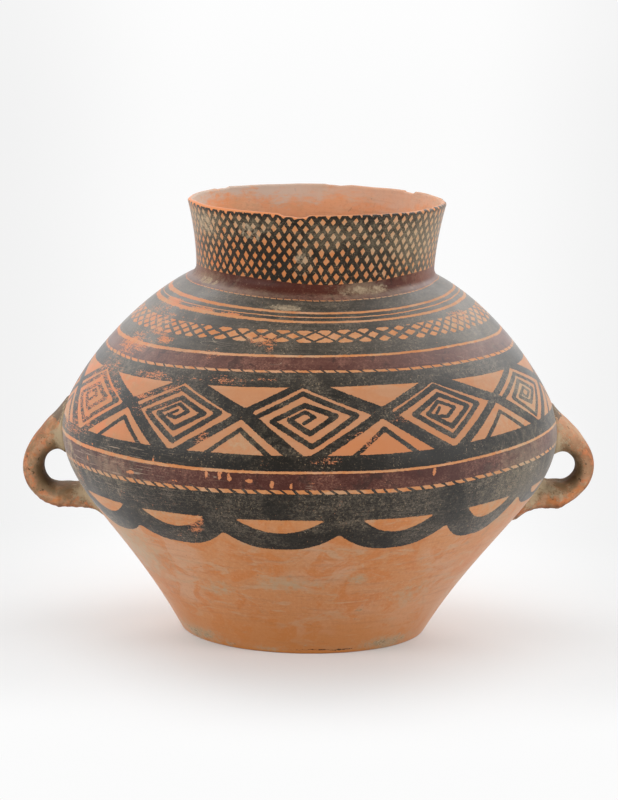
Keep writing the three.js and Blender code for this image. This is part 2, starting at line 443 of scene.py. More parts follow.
def ring_height(turn_degrees, run_mm):
    """Painter's height: the run, straightened so that each ring lies at its height at the front."""
    courses = [ring_course(heights) for _, heights, _ in RINGS]
    fronts = [float(course[180]) for course in courses]
    knots = [np.zeros_like(run_mm)] + [np.interp(turn_degrees, WHOLE_TURN, c) for c in courses]
    knots.append(np.full_like(run_mm, OUTLINE_END))
    levels = [0.0] + fronts + [OUTLINE_END]
    straight = run_mm.copy()
    for (a, b), (la, lb) in zip(zip(knots, knots[1:]), zip(levels, levels[1:])):
        between = (run_mm >= a) & (run_mm < b)
        straight = np.where(between, la + (lb - la) * (run_mm - a) / (b - a), straight)
    for front, (_, _, thick) in zip(fronts, RINGS):
        wide = np.interp(turn_degrees, (-75.0, 0.0, 75.0, 180.0), (*thick, (thick[0] + thick[2]) / 2), period=360)
        off = straight - front
        near = np.abs(off) < RING_SPREAD
        edge = RING_HALF * wide[near]
        size = np.abs(off[near])
        outside = RING_HALF + (size - edge) * (RING_SPREAD - RING_HALF) / (RING_SPREAD - edge)
        drawn = np.where(size < edge, size / wide[near], outside)
        straight[near] = front + np.sign(off[near]) * drawn
    lag = np.interp(turn_degrees, NET_TOP_TURNS, NET_TOP_LAG, period=360)
    return straight + lag * np.clip((straight - LAG_FOOT) / LAG_SPAN, 0.0, 1.0)


# ---- brush strokes: signed distance in millimetres, positive inside the paint ----

def stroke(across, up, corners, half_width):
    """A line of straight strokes. Across and up are arrays of millimetres, and corners pairs of the same or of
    numbers."""
    best = np.full_like(across, 1e3)
    for (ax, ay), (bx, by) in zip(corners, corners[1:]):
        dx, dy = bx - ax, by - ay
        share = np.clip(((across - ax) * dx + (up - ay) * dy) / (dx * dx + dy * dy + 1e-9), 0.0, 1.0)
        best = np.minimum(best, np.hypot(across - ax - share * dx, up - ay - share * dy))
    return half_width - best


# A field's value far from any paint
NO_PAINT = -40.0
# Heights of the broad band, in millimetres along the outline: its edges, the middles of the spirals, the
# crossings of its long strokes, and the tips of the chevrons under them
BAND_FOOT, BAND_TOP = 202.9, 257.3
LOZENGE_HEIGHT, CROSSING_HEIGHT, CHEVRON_HEIGHT = 234.0, 235.3, 222.8
# Half-widths of a spiral's stroke, lap by lap from the outside, and of a chevron
SPIRAL_HALF_WIDTHS, CHEVRON_HALF_WIDTH = (2.15, 2.1, 1.5, 1.2), 1.8
LAP_CORNERS = 4
# In degrees: half of a chevron's width, and how far to each side a spiral and a crossing are worked out
CHEVRON_REACH, LOZENGE_REACH, CROSSING_REACH = 7.7, 20.0, 24.0
# How far the strokes run in under the rings, in millimetres
UNDER_RINGS, CHEVRON_UNDER_RING = 8.0, 1.0
# The four arms of a crossing: side, the height that it runs to, how far short of the lozenge's middle it is
# there, its half-width, and how far to the side it starts
ARMS = [(-1, BAND_TOP, 2.9, 4.7, 0.0), (1, BAND_TOP, 2.6, 2.9, -0.7), (-1, BAND_FOOT, 3.1, 3.4, 0.0),
        (1, BAND_FOOT, 1.7, 4.7, 0.5)]
# Arms are drawn longer than they show, and the rings cut them off
ARM_OVERRUN = 1.25
# How far to the right of halfway between two spirals their crossing lies, in degrees
CROSSING_LAG = 1.3
# Four hand-drawn spirals, from the outer end inwards: each corner in degrees and millimetres from the middle
SPIRALS = {
    "plain": [(-12.5, -3), (-0.6, 18.4), (12.5, 0), (2, -23.5), (-7.5, -4), (0, 9), (7.5, 0),
              (1.5, -13.5), (-3.5, -3), (0, 3.5), (2.5, -0.5), (0, -5.5)],
    "hooked": [(-11.8, -1.8), (-0.7, 19.2), (11.5, 1), (1.2, -24), (-8.5, -3.5), (0, 11), (7.5, -0.3),
               (0.7, -14.3), (-5, -3.4), (0.2, 6), (3.2, 0), (0.2, -5.7), (-2.2, -4), (0.3, 0.4)],
    "tight": [(-13.8, -1.8), (-0.3, 20), (11.3, 0), (1.1, -23), (-8, -2), (0, 12.5), (7.8, -0.6),
              (1.4, -15.1), (-4.4, -2.8), (-0.8, 6.6), (3.6, 0.2), (1, -6.4), (-2.7, -5.6), (-0.7, 1.4)],
    "ringed": [(-13, -2.6), (-0.1, 17), (10.5, -0.5), (0, -25), (-7.6, -3.2), (-0.3, 10), (6.2, -2.5),
               (0.3, -12.7), (-4.2, -4.2), (0.3, 2.6), (2.6, -3), (-0.2, -7), (-1.9, -3.5)],
}
# Round the jar: each lozenge's middle in degrees, and its spiral
LOZENGES = [
    (-66.5, "plain"), (-33.5, "hooked"), (-1.5, "plain"), (33.5, "tight"), (67, "ringed"), (99.5, "plain"),
    (132, "hooked"), (164, "tight"), (196.5, "plain"), (228.5, "hooked"), (261, "tight"),
]


def turn_between(turn, middle):
    return (turn - middle + 180.0) % 360.0 - 180.0


def lozenge_band(turn, level, mm_per_degree):
    """Fields of the broad band. Strokes that run close to each other are kept in different fields."""
    crossings, spirals, between = (np.full_like(level, NO_PAINT) for _ in range(3))
    middles = [m for m, _ in LOZENGES]
    for index, (middle, spiral) in enumerate(LOZENGES):
        offset = turn_between(turn, middle)
        near = np.abs(offset) < LOZENGE_REACH
        scale = mm_per_degree[near]
        across, up = offset[near] * scale, level[near] - LOZENGE_HEIGHT
        corners = [(side * scale, rise) for side, rise in SPIRALS[spiral]]
        for lap in range(len(corners) // LAP_CORNERS + 1):
            field = (spirals, between)[lap % 2]
            one_lap = corners[LAP_CORNERS * lap:LAP_CORNERS * (lap + 1) + 1]
            if len(one_lap) > 1:
                field[near] = np.maximum(field[near], stroke(across, up, one_lap, SPIRAL_HALF_WIDTHS[lap]))

        following = middles[(index + 1) % len(middles)]
        crossing = middle + turn_between(following, middle) / 2 + CROSSING_LAG
        offset = turn_between(turn, crossing)
        near = np.abs(offset) < CROSSING_REACH
        scale = mm_per_degree[near]
        across, up = offset[near] * scale, level[near] - CROSSING_HEIGHT
        for side, end, short, half_width, start in ARMS:
            target = following if side > 0 else middle
            reach = turn_between(target, crossing) - side * short
            reach = start + (reach - start) * ARM_OVERRUN
            arm = [(start * scale, 0.0), (reach * scale, (end - CROSSING_HEIGHT) * ARM_OVERRUN)]
            crossings[near] = np.maximum(crossings[near], stroke(across, up, arm, half_width))
        foot, apex = BAND_FOOT - CHEVRON_UNDER_RING - CROSSING_HEIGHT, CHEVRON_HEIGHT - CROSSING_HEIGHT
        chevron = [(-CHEVRON_REACH * scale, foot), (0.0, apex), (CHEVRON_REACH * scale, foot)]
        between[near] = np.maximum(between[near], stroke(across, up, chevron, CHEVRON_HALF_WIDTH))
    inside_rings = np.minimum(level - BAND_FOOT + UNDER_RINGS, BAND_TOP + UNDER_RINGS - level)
    return np.minimum(crossings, inside_rings), spirals, between


# Scallops of the garland: where each begins, in degrees, how far its bare lens takes up its width, and the
# height where it meets the one before it
SCALLOPS = [(-72, 0.8, 132), (-48, 0.68, 130), (-21, 0.74, 135.2), (8, 0.64, 135.2), (36, 0.6, 136.5),
            (60, 0.42, 147), (82, 0.7, 137), (107, 0.72, 134), (134, 0.66, 136), (159, 0.74, 135),
            (186, 0.7, 133), (211, 0.66, 137), (237, 0.72, 135), (263, 0.68, 134)]
GARLAND_LOW, GARLAND_TOP = 119.3, 165.0
# The scallop that is painted shallow over the foot of the right handle, and how thick its stroke stays
SHORT_SCALLOP, SHORT_LOW = 60.0, 136.0
LEAST_STROKE = 7.0
LENS_LOW, LENS_TOP = 137.8, 151.2
# A scallop's edge rises with this power of the way out from its middle, and levels off near its ends
CREST, CREST_POWER = 1.1, 2.6


def garland(turn, level, mm_per_degree):
    """Scalloped lower edge of the black, with a bare lens over each scallop."""
    field = np.full_like(level, NO_PAINT)
    last = (SCALLOPS[0][0] + 360.0, *SCALLOPS[0][1:])
    for (begin, lens_share, join), (end, _, next_join) in zip(SCALLOPS, SCALLOPS[1:] + [last]):
        middle, half = (begin + end) / 2, (end - begin) / 2
        offset = turn_between(turn, middle)
        mine = np.abs(offset) <= half + 0.01
        reach, height = np.abs(offset[mine]) / half, level[mine]
        width = np.maximum(half * mm_per_degree[mine], 0.1)
        low = SHORT_LOW if begin == SHORT_SCALLOP else GARLAND_LOW
        depth = np.where(offset[mine] < 0, join, next_join) - low
        swell = np.minimum(CREST * reach ** CREST_POWER, 1.0)
        slope = np.where(swell < 1.0, depth * CREST * CREST_POWER * reach ** (CREST_POWER - 1) / width, 0.0)
        outside = (height - low - depth * swell) / np.sqrt(1 + slope ** 2)
        lens_low = max(LENS_LOW, low + LEAST_STROKE)
        arc = lens_low + (LENS_TOP - lens_low) * (reach / lens_share) ** 2
        slope = (LENS_TOP - lens_low) * 2 * reach / lens_share ** 2 / width
        lens = np.minimum((height - arc) / np.sqrt(1 + slope ** 2), LENS_TOP - height)
        field[mine] = np.minimum(outside, -lens)
    return field


# Rubbed places: degrees, painter's height, reach across and up in millimetres, strength
RUBBED = [
    (-64, 319.5, 12, 3.2, 1.6), (-44, 318.3, 16, 2.6, 1.25), (-31, 318.3, 12, 2.4, 1.2),
    (-55, 298, 16, 5, 0.82), (-50, 291, 10, 5, 0.85), (-64.5, 285, 4.5, 3.5, 1.5), (-15, 298, 14, 6, 1.05),
    (-13, 291, 4, 5, 0.9), (60, 306, 18, 6, 0.9), (40, 305, 10, 5, 0.7), (-44, 260.5, 30, 5, 0.66),
    (-38, 252, 9, 4, 0.8), (-24, 262.5, 24, 3.5, 0.6), (-46, 245, 14, 6, 1), (-12, 264, 12, 2.5, 0.7),
    (-26, 262, 10, 3, 0.65), (-66, 232, 34, 34, 0.78), (-44, 240, 30, 16, 0.5), (-60, 308, 36, 14, 0.48),
    (-57, 240, 10, 12, 0.7), (13, 214, 12, 10, 0.8), (-25, 212, 6, 8, 1), (22, 230, 10, 5, 0.7),
    (-29, 140, 7, 9, 0.9), (-26.5, 147, 3, 6, 1.2), (-71, 205, 30, 12, 0.8), (-72, 165, 22, 18, 0.6),
    (-63, 283, 20, 12, 0.75), (-30, 284, 9, 4, 0.8), (4, 200, 10, 3, 0.7), (110, 300, 14, 5, 1),
    (150, 260, 20, 4, 1), (-150, 318, 15, 3, 1.2), (-120, 235, 20, 16, 0.8), (125, 190, 12, 5, 0.9),
]
# Places where beige soil clings
SOILED = [
    (-62, 396, 18, 13, 0.85), (-30, 397, 18, 10, 0.8), (-5, 376, 10, 12, 0.72), (46, 393, 24, 8, 0.55),
    (10, 401, 16, 6, 0.5), (23, 350, 24, 6.5, 1), (-12, 330.5, 15, 4.5, 1.2), (-62, 347, 24, 5, 0.85),
    (-72, 166, 24, 34, 0.8), (78, 150, 12, 26, 0.6), (-60, 172, 26, 7, 0.62), (-56, 8.5, 30, 6.5, 1),
    (41, 6, 24, 5.5, 1), (-33, 4, 8, 3, 0.95), (1, 7, 12, 4, 0.7), (18, 23, 4, 3, 0.8), (21, 47, 7, 4, 0.8),
    (57, 39, 5, 4, 0.8), (35, 28, 3, 3, 0.6), (120, 6, 40, 4, 0.9), (-140, 6, 30, 5, 1), (14, 80, 16, 9, 0.5),
    (-10, 84, 10, 8, 0.55), (-80, 120, 16, 22, 0.6), (80, 118, 14, 22, 0.6), (120, 380, 25, 14, 0.7),
    (-140, 350, 25, 8, 0.8), (165, 330, 18, 6, 0.8), (-105, 300, 20, 9, 0.7),
]
# Small nicks through the paint: degrees, painter's height, half-width and half-height in millimetres
NICKS = [
    (-23, 187.7, 1.2, 2.8), (-19.8, 188.3, 1.5, 3.4), (-17.7, 187.5, 1.6, 2.9), (-13.2, 184.5, 2.4, 1.4),
    (-8, 182.5, 1.2, 2.8), (-3.8, 182, 1, 2.2), (28.6, 187.5, 1.2, 3), (-43.8, 182, 3.4, 1.2),
    (-60.5, 184, 1, 1.8), (-36.7, 194, 0.9, 2.2), (-58, 195, 1, 1.5), (-31, 181, 2.4, 0.7),
]
# Places under a thin film of dust, which tints the clay more than the paint
DUSTY = [
    (-66, 400, 40, 17, 1), (-30, 403, 30, 9, 0.8), (12, 396, 34, 15, 0.85), (52, 388, 66, 26, 1),
    (-5, 378, 9, 12, 0.9), (22, 352, 20, 9, 1), (-66, 350, 34, 8, 0.9), (-12, 331, 20, 6, 0.7),
    (-80, 165, 26, 50, 0.9), (80, 165, 30, 50, 0.9), (60, 130, 40, 14, 0.6), (-60, 98, 40, 34, 0.85),
    (-14, 212, 16, 14, 0.6), (56, 215, 30, 14, 0.6), (66, 234, 22, 28, 0.85), (58, 165, 42, 34, 1),
    (-58, 152, 30, 14, 0.5), (64, 300, 40, 30, 0.6), (-64, 300, 40, 30, 0.5), (-60, 260, 40, 12, 0.5),
    (60, 250, 40, 30, 0.4), (-36, 343.5, 62, 4.5, 0.8), (26, 344.5, 62, 5, 0.8), (0, 333, 110, 5, 0.25),
    (-52, 181, 44, 14, 0.75), (-40, 148, 30, 8, 0.6), (-55, 8, 30, 8, 0.9), (41, 6, 28, 7, 0.9),
    (-15, 4, 16, 3, 0.7), (-5, 78, 26, 9, 0.75), (16, 84, 9, 7, 0.8), (-30, 66, 16, 9, 0.7),
    (40, 60, 26, 12, 0.6), (20, 150, 60, 10, 0.3), (150, 385, 60, 20, 0.9), (-140, 340, 50, 14, 0.9),
    (170, 180, 50, 30, 0.6),
]


def spots(turn, level, mm_per_degree, places, hardness=2.0):
    """A field of soft round spots: the strength of the strongest one at each point."""
    total = np.zeros_like(level)
    for middle, height, across, up, strength in places:
        d2 = (turn_between(turn, middle) * mm_per_degree / across) ** 2 + ((level - height) / up) ** 2
        total = np.maximum(total, strength * np.exp(-0.7 * d2 ** hardness))
    return total


# ---- shading ----

# Tints of the fired clay
SMEARED, BRUSHED, STAINED = (0.46, 0.29, 0.17), (0.30, 0.13, 0.06), (0.21, 0.17, 0.11)
PALE_GRAIN, DARK_GRAIN, PITTED = (0.62, 0.38, 0.22), (0.24, 0.1, 0.05), (0.08, 0.055, 0.04)


@made_once("node_groups", "Fired clay")
def clay_group(name):
    """Mottled fired clay: colour, roughness and height, with pits and smoothing marks."""
    w, given, made = new_group(
        name, "ShaderNodeTree",
        [("Vector", "Vector"), ("Clay", "Color"), ("Pale", "Color"), ("Deep", "Color"),
         ("Pits", "Float", 0.5), ("Stains", "Float", 0.5)],
        [("Color", "Color"), ("Roughness", "Float"), ("Height", "Float")])
    at = given["Vector"]
    cloud = w.noise(at, 16, 4, 0.6, 0.4)
    patch = w.noise(at, 42, 5, 0.62, 0.8)
    grain = w.noise(at, 420, 4, 0.7)
    smear = w.noise(w.stretch(at, 1, 1, 3.2), 30, 5, 0.6, 1.2)
    brush = w.noise(w.stretch(at, 25, 25, 420), 1, 3, 0.6)
    pit = (w.ease(w.noise(at, 210, 2, 0.5), 0.70, 0.76) * w.ease(w.noise(at, 33, 2, 0.5), 0.42, 0.62)
           * given["Pits"])
    stain = w.ease(w.noise(at, 55, 6, 0.7, 1.5), 0.60, 0.72) * given["Stains"]
    w.put(w.layers(given["Clay"], [
        (w.ease(cloud, 0.45, 0.68, 0, 0.8), given["Pale"]),
        (w.ease(patch, 0.48, 0.60) * 0.8, given["Deep"]),
        (w.ease(smear, 0.53, 0.66) * 0.62, SMEARED),
        (w.ease(brush, 0.5, 0.7, 0, 0.28), BRUSHED),
        (w.ease(grain, 0.5, 0.8) * 0.35, PALE_GRAIN),
        (w.ease(grain, 0.5, 0.25) * 0.3, DARK_GRAIN),
        (pit * 0.75, PITTED),
        (stain * 0.55, STAINED),
    ]), made["Color"])
    w.put(w.ease(cloud, 0.3, 0.7, 0.66, 0.8), made["Roughness"])
    w.put(grain * 0.12 - pit * 0.6 + smear * 0.25 + brush * 0.2, made["Height"])
    return w.tree


@made_once("node_groups", "Clinging soil")
def soil_group(name):
    """Where dried soil clings: a patchy mask that grows with the amount asked for."""
    w, given, made = new_group(name, "ShaderNodeTree", [("Vector", "Vector"), ("Amount", "Float", 0.2)],
                               [("Mask", "Float"), ("Height", "Float")])
    fine = w.noise(given["Vector"], 340, 4, 0.7)
    level = w.noise(given["Vector"], 60, 7, 0.72, 0.6) + (fine - 0.5) * 0.5
    edge = 0.88 - given["Amount"] * 0.42
    mask = w.maths("MULTIPLY", level - edge, 8.0, clamp=True)
    w.put(mask, made["Mask"])
    w.put(mask * w.ease(fine, 0.2, 0.8, 0.5, 1), made["Height"])
    return w.tree


# Radius, in millimetres, where the nicks are
NICK_RADIUS = 193.0


@made_once("node_groups", "Nick")
def nick_group(name):
    """A small nick at a place on the wrap map: 1 inside it."""
    w, given, made = new_group(
        name, "ShaderNodeTree",
        [("Turn", "Float", 0.5), ("Level", "Float", 0.0), ("Rough", "Float", 0.0), ("Middle", "Float", 0.5),
         ("Height", "Float", 0.0), ("Half width", "Float", 1.0), ("Half height", "Float", 1.0)],
        [("Mask", "Float")])
    across = abs(given["Turn"] - given["Middle"]) * (2 * math.pi * NICK_RADIUS) / given["Half width"]
    up = abs(given["Level"] - given["Height"]) / given["Half height"]
    w.put(across * across + up * up + given["Rough"] < 1.0, made["Mask"])
    return w.tree


def new_material(name):
    material = bpy.data.materials.new(name)
    material.use_nodes = True
    w = Wires(material.node_tree)
    return material, w, w.nodes["Principled BSDF"]


def fired_clay(w, at, pits, stains, **changed):
    """Fired clay in the jar's colours, except for those that are changed."""
    c = colours()
    return w.group(clay_group(), {"Vector": at, "Clay": c.clay, "Pale": c.clay_pale, "Deep": c.clay_deep,
                                  "Pits": pits, "Stains": stains, **changed})


def finish_shader(w, shader, tone, roughness, specular, height, relief, depth):
    """Fills in the shader. Relief is the strength of the bump, depth its distance in metres."""
    bump = w.node("ShaderNodeBump", {"Height": height, "Strength": relief, "Distance": depth})
    for name, value in (("Base Color", tone), ("Roughness", roughness), ("Specular IOR Level", specular),
                        ("Normal", w.out(bump))):
        w.put(value, shader.inputs[name])


DEEP_INSIDE, WARM_INSIDE, SOILED_LIP = (0.64, 0.27, 0.13), (0.65, 0.27, 0.118), (0.49, 0.39, 0.32)


@made_once("materials", "bare clay")
def bare_clay(name):
    """Unpainted clay of the foot, the inside and the lip."""
    material, w, shader = new_material(name)
    c = colours()
    at = w.place()
    x, _, rise = w.split(at)
    # painted light, in part: the inside's clay and its pale patches are lighter than the outside's, where light
    # falls into the mouth and on the lip
    clay = fired_clay(w, at, 0.6, 0.25, Clay=c.inside, Pale=[min(1.0, 1.2 * v) for v in c.clay_pale],
                      Deep=DEEP_INSIDE)
    top = sizes().jar_height
    near_lip = w.ease(rise, top - 24 * MM, top - 8 * MM, 0, 0.5)
    near_foot = w.ease(rise, 14 * MM, 0, 0, 0.55)
    soil = w.group(soil_group(), {"Vector": at, "Amount": near_lip + near_foot})
    warm = w.noise(w.stretch(at, 1, 1, 2.5), 14, 4, 0.6)
    # a ragged band of soil under the lip, most of it on the left
    ragged = w.noise(at, 22, 4, 0.6) + w.noise(w.stretch(at, 1, 1, 3), 110, 4, 0.7)
    cling = rise + (ragged - 1.0) * 0.035
    band = w.ease(cling, top - 17 * MM, top - 4 * MM) * w.ease(x, 0.07, -0.05, 0.4, 1)
    tone = w.layers(clay["Color"], [
        (w.ease(warm, 0.45, 0.62, 0, 0.5), WARM_INSIDE),
        (band * 0.9, SOILED_LIP),
        (soil["Mask"] * 0.6, c.soil),
    ])
    finish_shader(w, shader, tone, clay["Roughness"], 0.2, clay["Height"] + soil["Height"], 0.5, 0.8 * MM)
    return material


# Edges of the rings at the front, in millimetres along the outline: up to each height, this paint
RING_PAINTS = [
    (160.0, "clay"), (174.2, "black"), (177.9, "cord"), (190.3, "maroon"), (191.9, "clay"), (202.9, "black"),
    (257.3, "clay"), (269.8, "black"), (271.3, "cord"), (283.4, "maroon"), (285.0, "clay"), (296.1, "black"),
    (308.2, "shoulder net"), (315.5, "black"), (316.8, "clay"), (319.9, "black"), (321.2, "clay"),
    (324.7, "black"), (326.5, "clay"), (338.9, "black"), (340.4, "cord"), (357.3, "maroon"),
    (412.4, "neck net"), (414.5, "clay"),
]
PAINT_CODES = {"clay": (0, 0, 0), "black": (1, 0, 0), "maroon": (0, 1, 0), "cord": (0, 0, 1),
               "shoulder net": (1, 1, 0), "neck net": (0, 1, 1)}
RAMP_LOW, RAMP_HIGH = 150.0, 415.0


def ring_ramp(w, level):
    """Codes of the paint at a height: three channels that name it."""
    share = w.out(w.node("ShaderNodeMapRange", {"Value": level, "From Min": RAMP_LOW, "From Max": RAMP_HIGH}))
    node = w.node("ShaderNodeValToRGB", {0: share})
    ramp = node.color_ramp
    ramp.interpolation = "CONSTANT"
    low = RAMP_LOW
    for index, (high, paint) in enumerate(RING_PAINTS):
        share = (low - RAMP_LOW) / (RAMP_HIGH - RAMP_LOW)
        stop = ramp.elements[index] if index < 2 else ramp.elements.new(share)
        stop.position = share
        stop.color = (*PAINT_CODES[paint], 1.0)
        low = high
    codes = w.node("ShaderNodeSeparateColor", {"Color": w.out(node, "Color")})
    return [w.out(codes, channel) for channel in ("Red", "Green", "Blue")]


def net_lines(w, turn, level, count, foot, pitch, share, shakes):
    """Two families of slanted lines that cross: 1 on a line."""
    rise = (level - foot) / pitch
    gaps = [w.maths("PINGPONG", turn * float(count) + rise * sign + shake, 0.5)
            for sign, shake in zip((1.0, -1.0), shakes)]
    return w.maths("MINIMUM", *gaps) < share


# Where the nets start, in millimetres along the outline, how high a mesh is, and how many go round
NECK_NET_FOOT, NECK_NET_PITCH, NECK_NET_COUNT = 358.0, 12.4, 74
SHOULDER_NET_FOOT, SHOULDER_NET_COUNT = 298.4, 54
# The middle of the front as a share of the turn
FRONT = 0.49
# The crack at the foot: its height in millimetres, its middle and its reach to each side in degrees
CRACK_HEIGHT, CRACK_TURN, CRACK_REACH = 4.2, 10.0, 13.0

# Tints of the painted wall: its clay, zone by zone, with painted shade in the band and near the floor, then what
# lies on the paint, with a painted sheen
SHADED_BAND_CLAY, BAND_ORANGE, LEFT_CLAY, BARED_CLAY = (
    (0.395, 0.184, 0.092), (0.46, 0.165, 0.06), (0.56, 0.175, 0.07), (0.49, 0.165, 0.068))
LOW_NECK_CLAY, LIP_CLAY, LOW_CLAY_SHADE, FOOT_CLAY_SHADE = (
    (0.48, 0.163, 0.048), (0.60, 0.215, 0.08), (0.47, 0.185, 0.05), (0.52, 0.19, 0.035))
SPECK_ON_BLACK, SPECK_ON_MAROON, DARK_MAROON = (0.38, 0.27, 0.16), (0.4, 0.22, 0.13), (0.02, 0.008, 0.005)
# the last tint here is a painted sheen, partly a pale bloom
SCRAPED, SCRATCHED, BLOOM_AND_SHEEN = (0.42, 0.30, 0.21), (0.36, 0.28, 0.2), (0.36, 0.375, 0.385)
CRACKED = (0.03, 0.014, 0.008)
LOW_CRUST, HIGH_CRUST, PALE_CRUST = (0.16, 0.115, 0.055), (0.29, 0.215, 0.14), (0.43, 0.335, 0.22)


@made_once("materials", "painted clay")
def painted_clay(name):
    """Clay under black and maroon paint, worn and soiled."""
    material, w, shader = new_material(name)
    c = colours()
    at = w.place()
    turn, metres, _ = w.split(w.out(w.node("ShaderNodeUVMap", uv_map="wrap")))
    level = metres * 1000.0
    off_front = abs(turn - FRONT)
    slow = w.noise(at, 55, 2) - 0.5
    quick = w.noise(at, 420, 3, 0.65) - 0.5
    other = w.noise(w.stretch(at, 1, 1, 1.3), 48, 2) - 0.5

    def beside(low, high, to_low=0.0, to_high=1.0):
        """Eases from one angle off the front to another, in degrees."""
        return w.ease(off_front, low / 360, high / 360, to_low, to_high)

    def zone(low, full_low, full_high, high):
        """1 between two heights along the outline, eased over the stretches outside them."""
        return w.ease(level, low, full_low) * w.ease(level, high, full_high)

    # what each code of the ramp stands for
    red, green, blue = ring_ramp(w, level + (slow * 0.9 + quick * 1.3))
    cord = but_not(blue, green)
    maroon = but_not(but_not(green, red), blue)

    # slanted ticks across the cord rings; their count round the jar differs from ring to ring
    ticks_round = 126.0 + ((level > 220.0) * -26.0 + (level > 300.0) * 20.0)
    tick_phase = turn * ticks_round + level * 0.13 + slow * 0.9
    tick = w.maths("PINGPONG", tick_phase, 0.5) < w.ease(level, 200, 220, 0.15, 0.1) + quick * 0.2

    shakes = slow * 0.55 + quick * 0.22, other * 0.55 + quick * -0.22
    neck_share = w.times_plus(other, 0.22, beside(60, 15, 0.222, 0.245))
    neck_lines = net_lines(w, turn, level, NECK_NET_COUNT, NECK_NET_FOOT, NECK_NET_PITCH, neck_share, shakes)
    # the shoulder's net is finer at both sides of the front
    extra = w.ease(turn, 0.29, 0.41, 0, 2) + w.ease(turn, 0.59, 0.71, 0, 2)
    finer = w.times_plus(extra, 1 / SHOULDER_NET_COUNT, turn)
    shoulder_share = w.times_plus(other, 0.3, 0.165)
    shoulder_lines = net_lines(w, finer, level, SHOULDER_NET_COUNT, SHOULDER_NET_FOOT, beside(20, 50, 8.9, 6.4),
                               shoulder_share, shakes)

    crumb = w.noise(at, 1100, 2, 0.6) - 0.5
    rough_edge = slow * 0.9 + w.times_plus(crumb, 1.3, quick * 1.6)
    strokes = [w.field(label) + rough_edge > 0.0
               for label in ("crossings", "spirals", "between_spirals", "garland")]
    black = w.most(but_not(red, green), cord * tick, green * blue * neck_lines, red * green * shoulder_lines,
                   *strokes)

    # wear: paint gives way where the rubbing and the flaking noise add up
    flake = w.noise(at, 170, 6, 0.75, 0.3)
    streak = w.noise(w.stretch(at, 60, 60, 900), 1, 4, 0.7)
    fine = w.noise(w.stretch(at, 1, 1, 1.8), 620, 4, 0.75)
    wear = w.field("rubbed") + w.ease(w.noise(at, 11, 4, 0.6), 0.42, 0.72, 0, 0.35)
    give = flake * 0.28 + w.times_plus(streak, 0.30, fine * 0.42)
    lost = w.most(give + wear * 0.13 > 0.632, w.noise(at, 760, 3, 0.7) + wear * 0.08 > 0.73)
    nick_rough = w.times_plus(flake - 0.5, 6.0, quick * 5.0)
    for middle, height, half_width, half_height in NICKS:
        nick = w.group(nick_group(), {"Turn": turn, "Level": level, "Rough": nick_rough,
                                      "Middle": middle / 360 + 0.5, "Height": height,
                                      "Half width": half_width, "Half height": half_height})
        lost = w.most(lost, nick["Mask"])
    bared = w.most(black, maroon) * lost
    kept = 1.0 - lost
    black, maroon = black * kept, maroon * kept
    painted = w.most(black, maroon)

    # how thin the paint is, and painted sheen: the shoulder's black is paler in level streaks, partly rubbed and
    # partly a painted sheen where it faces up; some of the black is deep
    patch = w.ease(w.noise(at, 26, 5, 0.65, 0.6), 0.42, 0.62)
    grit = w.ease(w.noise(at, 480, 4, 0.8), 0.47, 0.60)
    rub = w.ease(give, 0.48, 0.56)
    thin_paint_and_sheen = w.maths("ADD", patch * 0.1,
                   grit * w.times_plus(patch, 0.42, 0.12) + rub * w.times_plus(patch, 0.4, 0.12), clamp=True)
    streaks = w.ease(w.noise(w.stretch(at, 14, 14, 330), 1, 4, 0.7), 0.38, 0.62)
    # painted sheen and rubbing: paler black over the upward-facing shoulder, more towards both sides of the front
    rubbed = w.ease(level, 246, 288) * w.times_plus(streaks, 0.2, beside(25, 65, 0.22, 0.5))
    deep = w.most(w.ease(level, 344, 352), zone(188, 193, 200, 207)) * beside(72, 35, 0, 0.75)
    thin_paint_and_sheen = but_not(w.maths("ADD", thin_paint_and_sheen, rubbed, clamp=True), deep)
    speck = w.ease(w.noise(at, 640, 3, 0.7), 0.60, 0.66) * w.times_plus(patch, 0.7, 0.3)
    black_tone = w.layers(c.black, [(thin_paint_and_sheen, c.black_worn), (speck * 0.55, SPECK_ON_BLACK)])
    maroon_tone = w.layers(c.maroon, [
        (thin_paint_and_sheen * 0.8, c.maroon_worn),
        (speck * 0.4, SPECK_ON_MAROON),
        (w.ease(w.noise(at, 75, 5, 0.7, 0.5), 0.55, 0.63, 0, 0.55), DARK_MAROON),
    ])

    # zones of the clay, the dust that lies on it and on the paint, and a pale film that is partly bloom and partly
    # painted sheen
    in_band = zone(190, 206, 252, 262)
    orange = w.ease(abs(turn - 0.544), 0.06, 0.02) * w.ease(level, 228, 212)
    on_left = w.ease(turn, 0.40, 0.33) * w.ease(w.noise(at, 60, 5, 0.7), 0.42, 0.58)
    low_neck = zone(350, 360, 375, 395) * beside(62, 30)
    haze = w.ease(w.field("dusty") + (flake - 0.5) * 2.2, 0.2, 1.1) * w.ease(level, 411.5, 409)
    film = w.ease(fine, 0.35, 0.65, 0.08, 0.4) * w.ease(low_neck, 0, 1, 1, 0.3)
    # painted sheen, partly a pale bloom: a bluish-grey film over the shoulder and belly, stronger on the paint and
    # towards both sides of the front
    bloom_and_sheen = w.ease(level, 200, 280, 0.5, 1) * w.ease(level, 349, 343) * beside(5, 62, 0.03, 0.19)

    # hair-fine level scrapes on the left, and thin lines of a stretched noise in a few places only
    hairs = w.ease(w.noise(w.stretch(at, 45, 45, 1500), 1, 3, 0.6), 0.60, 0.66)
    scraped = w.ease(turn, 0.44, 0.38) * zone(148, 170, 196, 215)
    bent = w.node("ShaderNodeMapping", {"Vector": at, "Rotation": (0.3, 0.7, 0.4), "Scale": (1.0, 1.0, 7.0)})
    scratch = (abs(w.noise(w.out(bent), 22, 1) - 0.5) < 0.004) * (w.noise(at, 30, 3) > 0.59) * (level < 300.0)

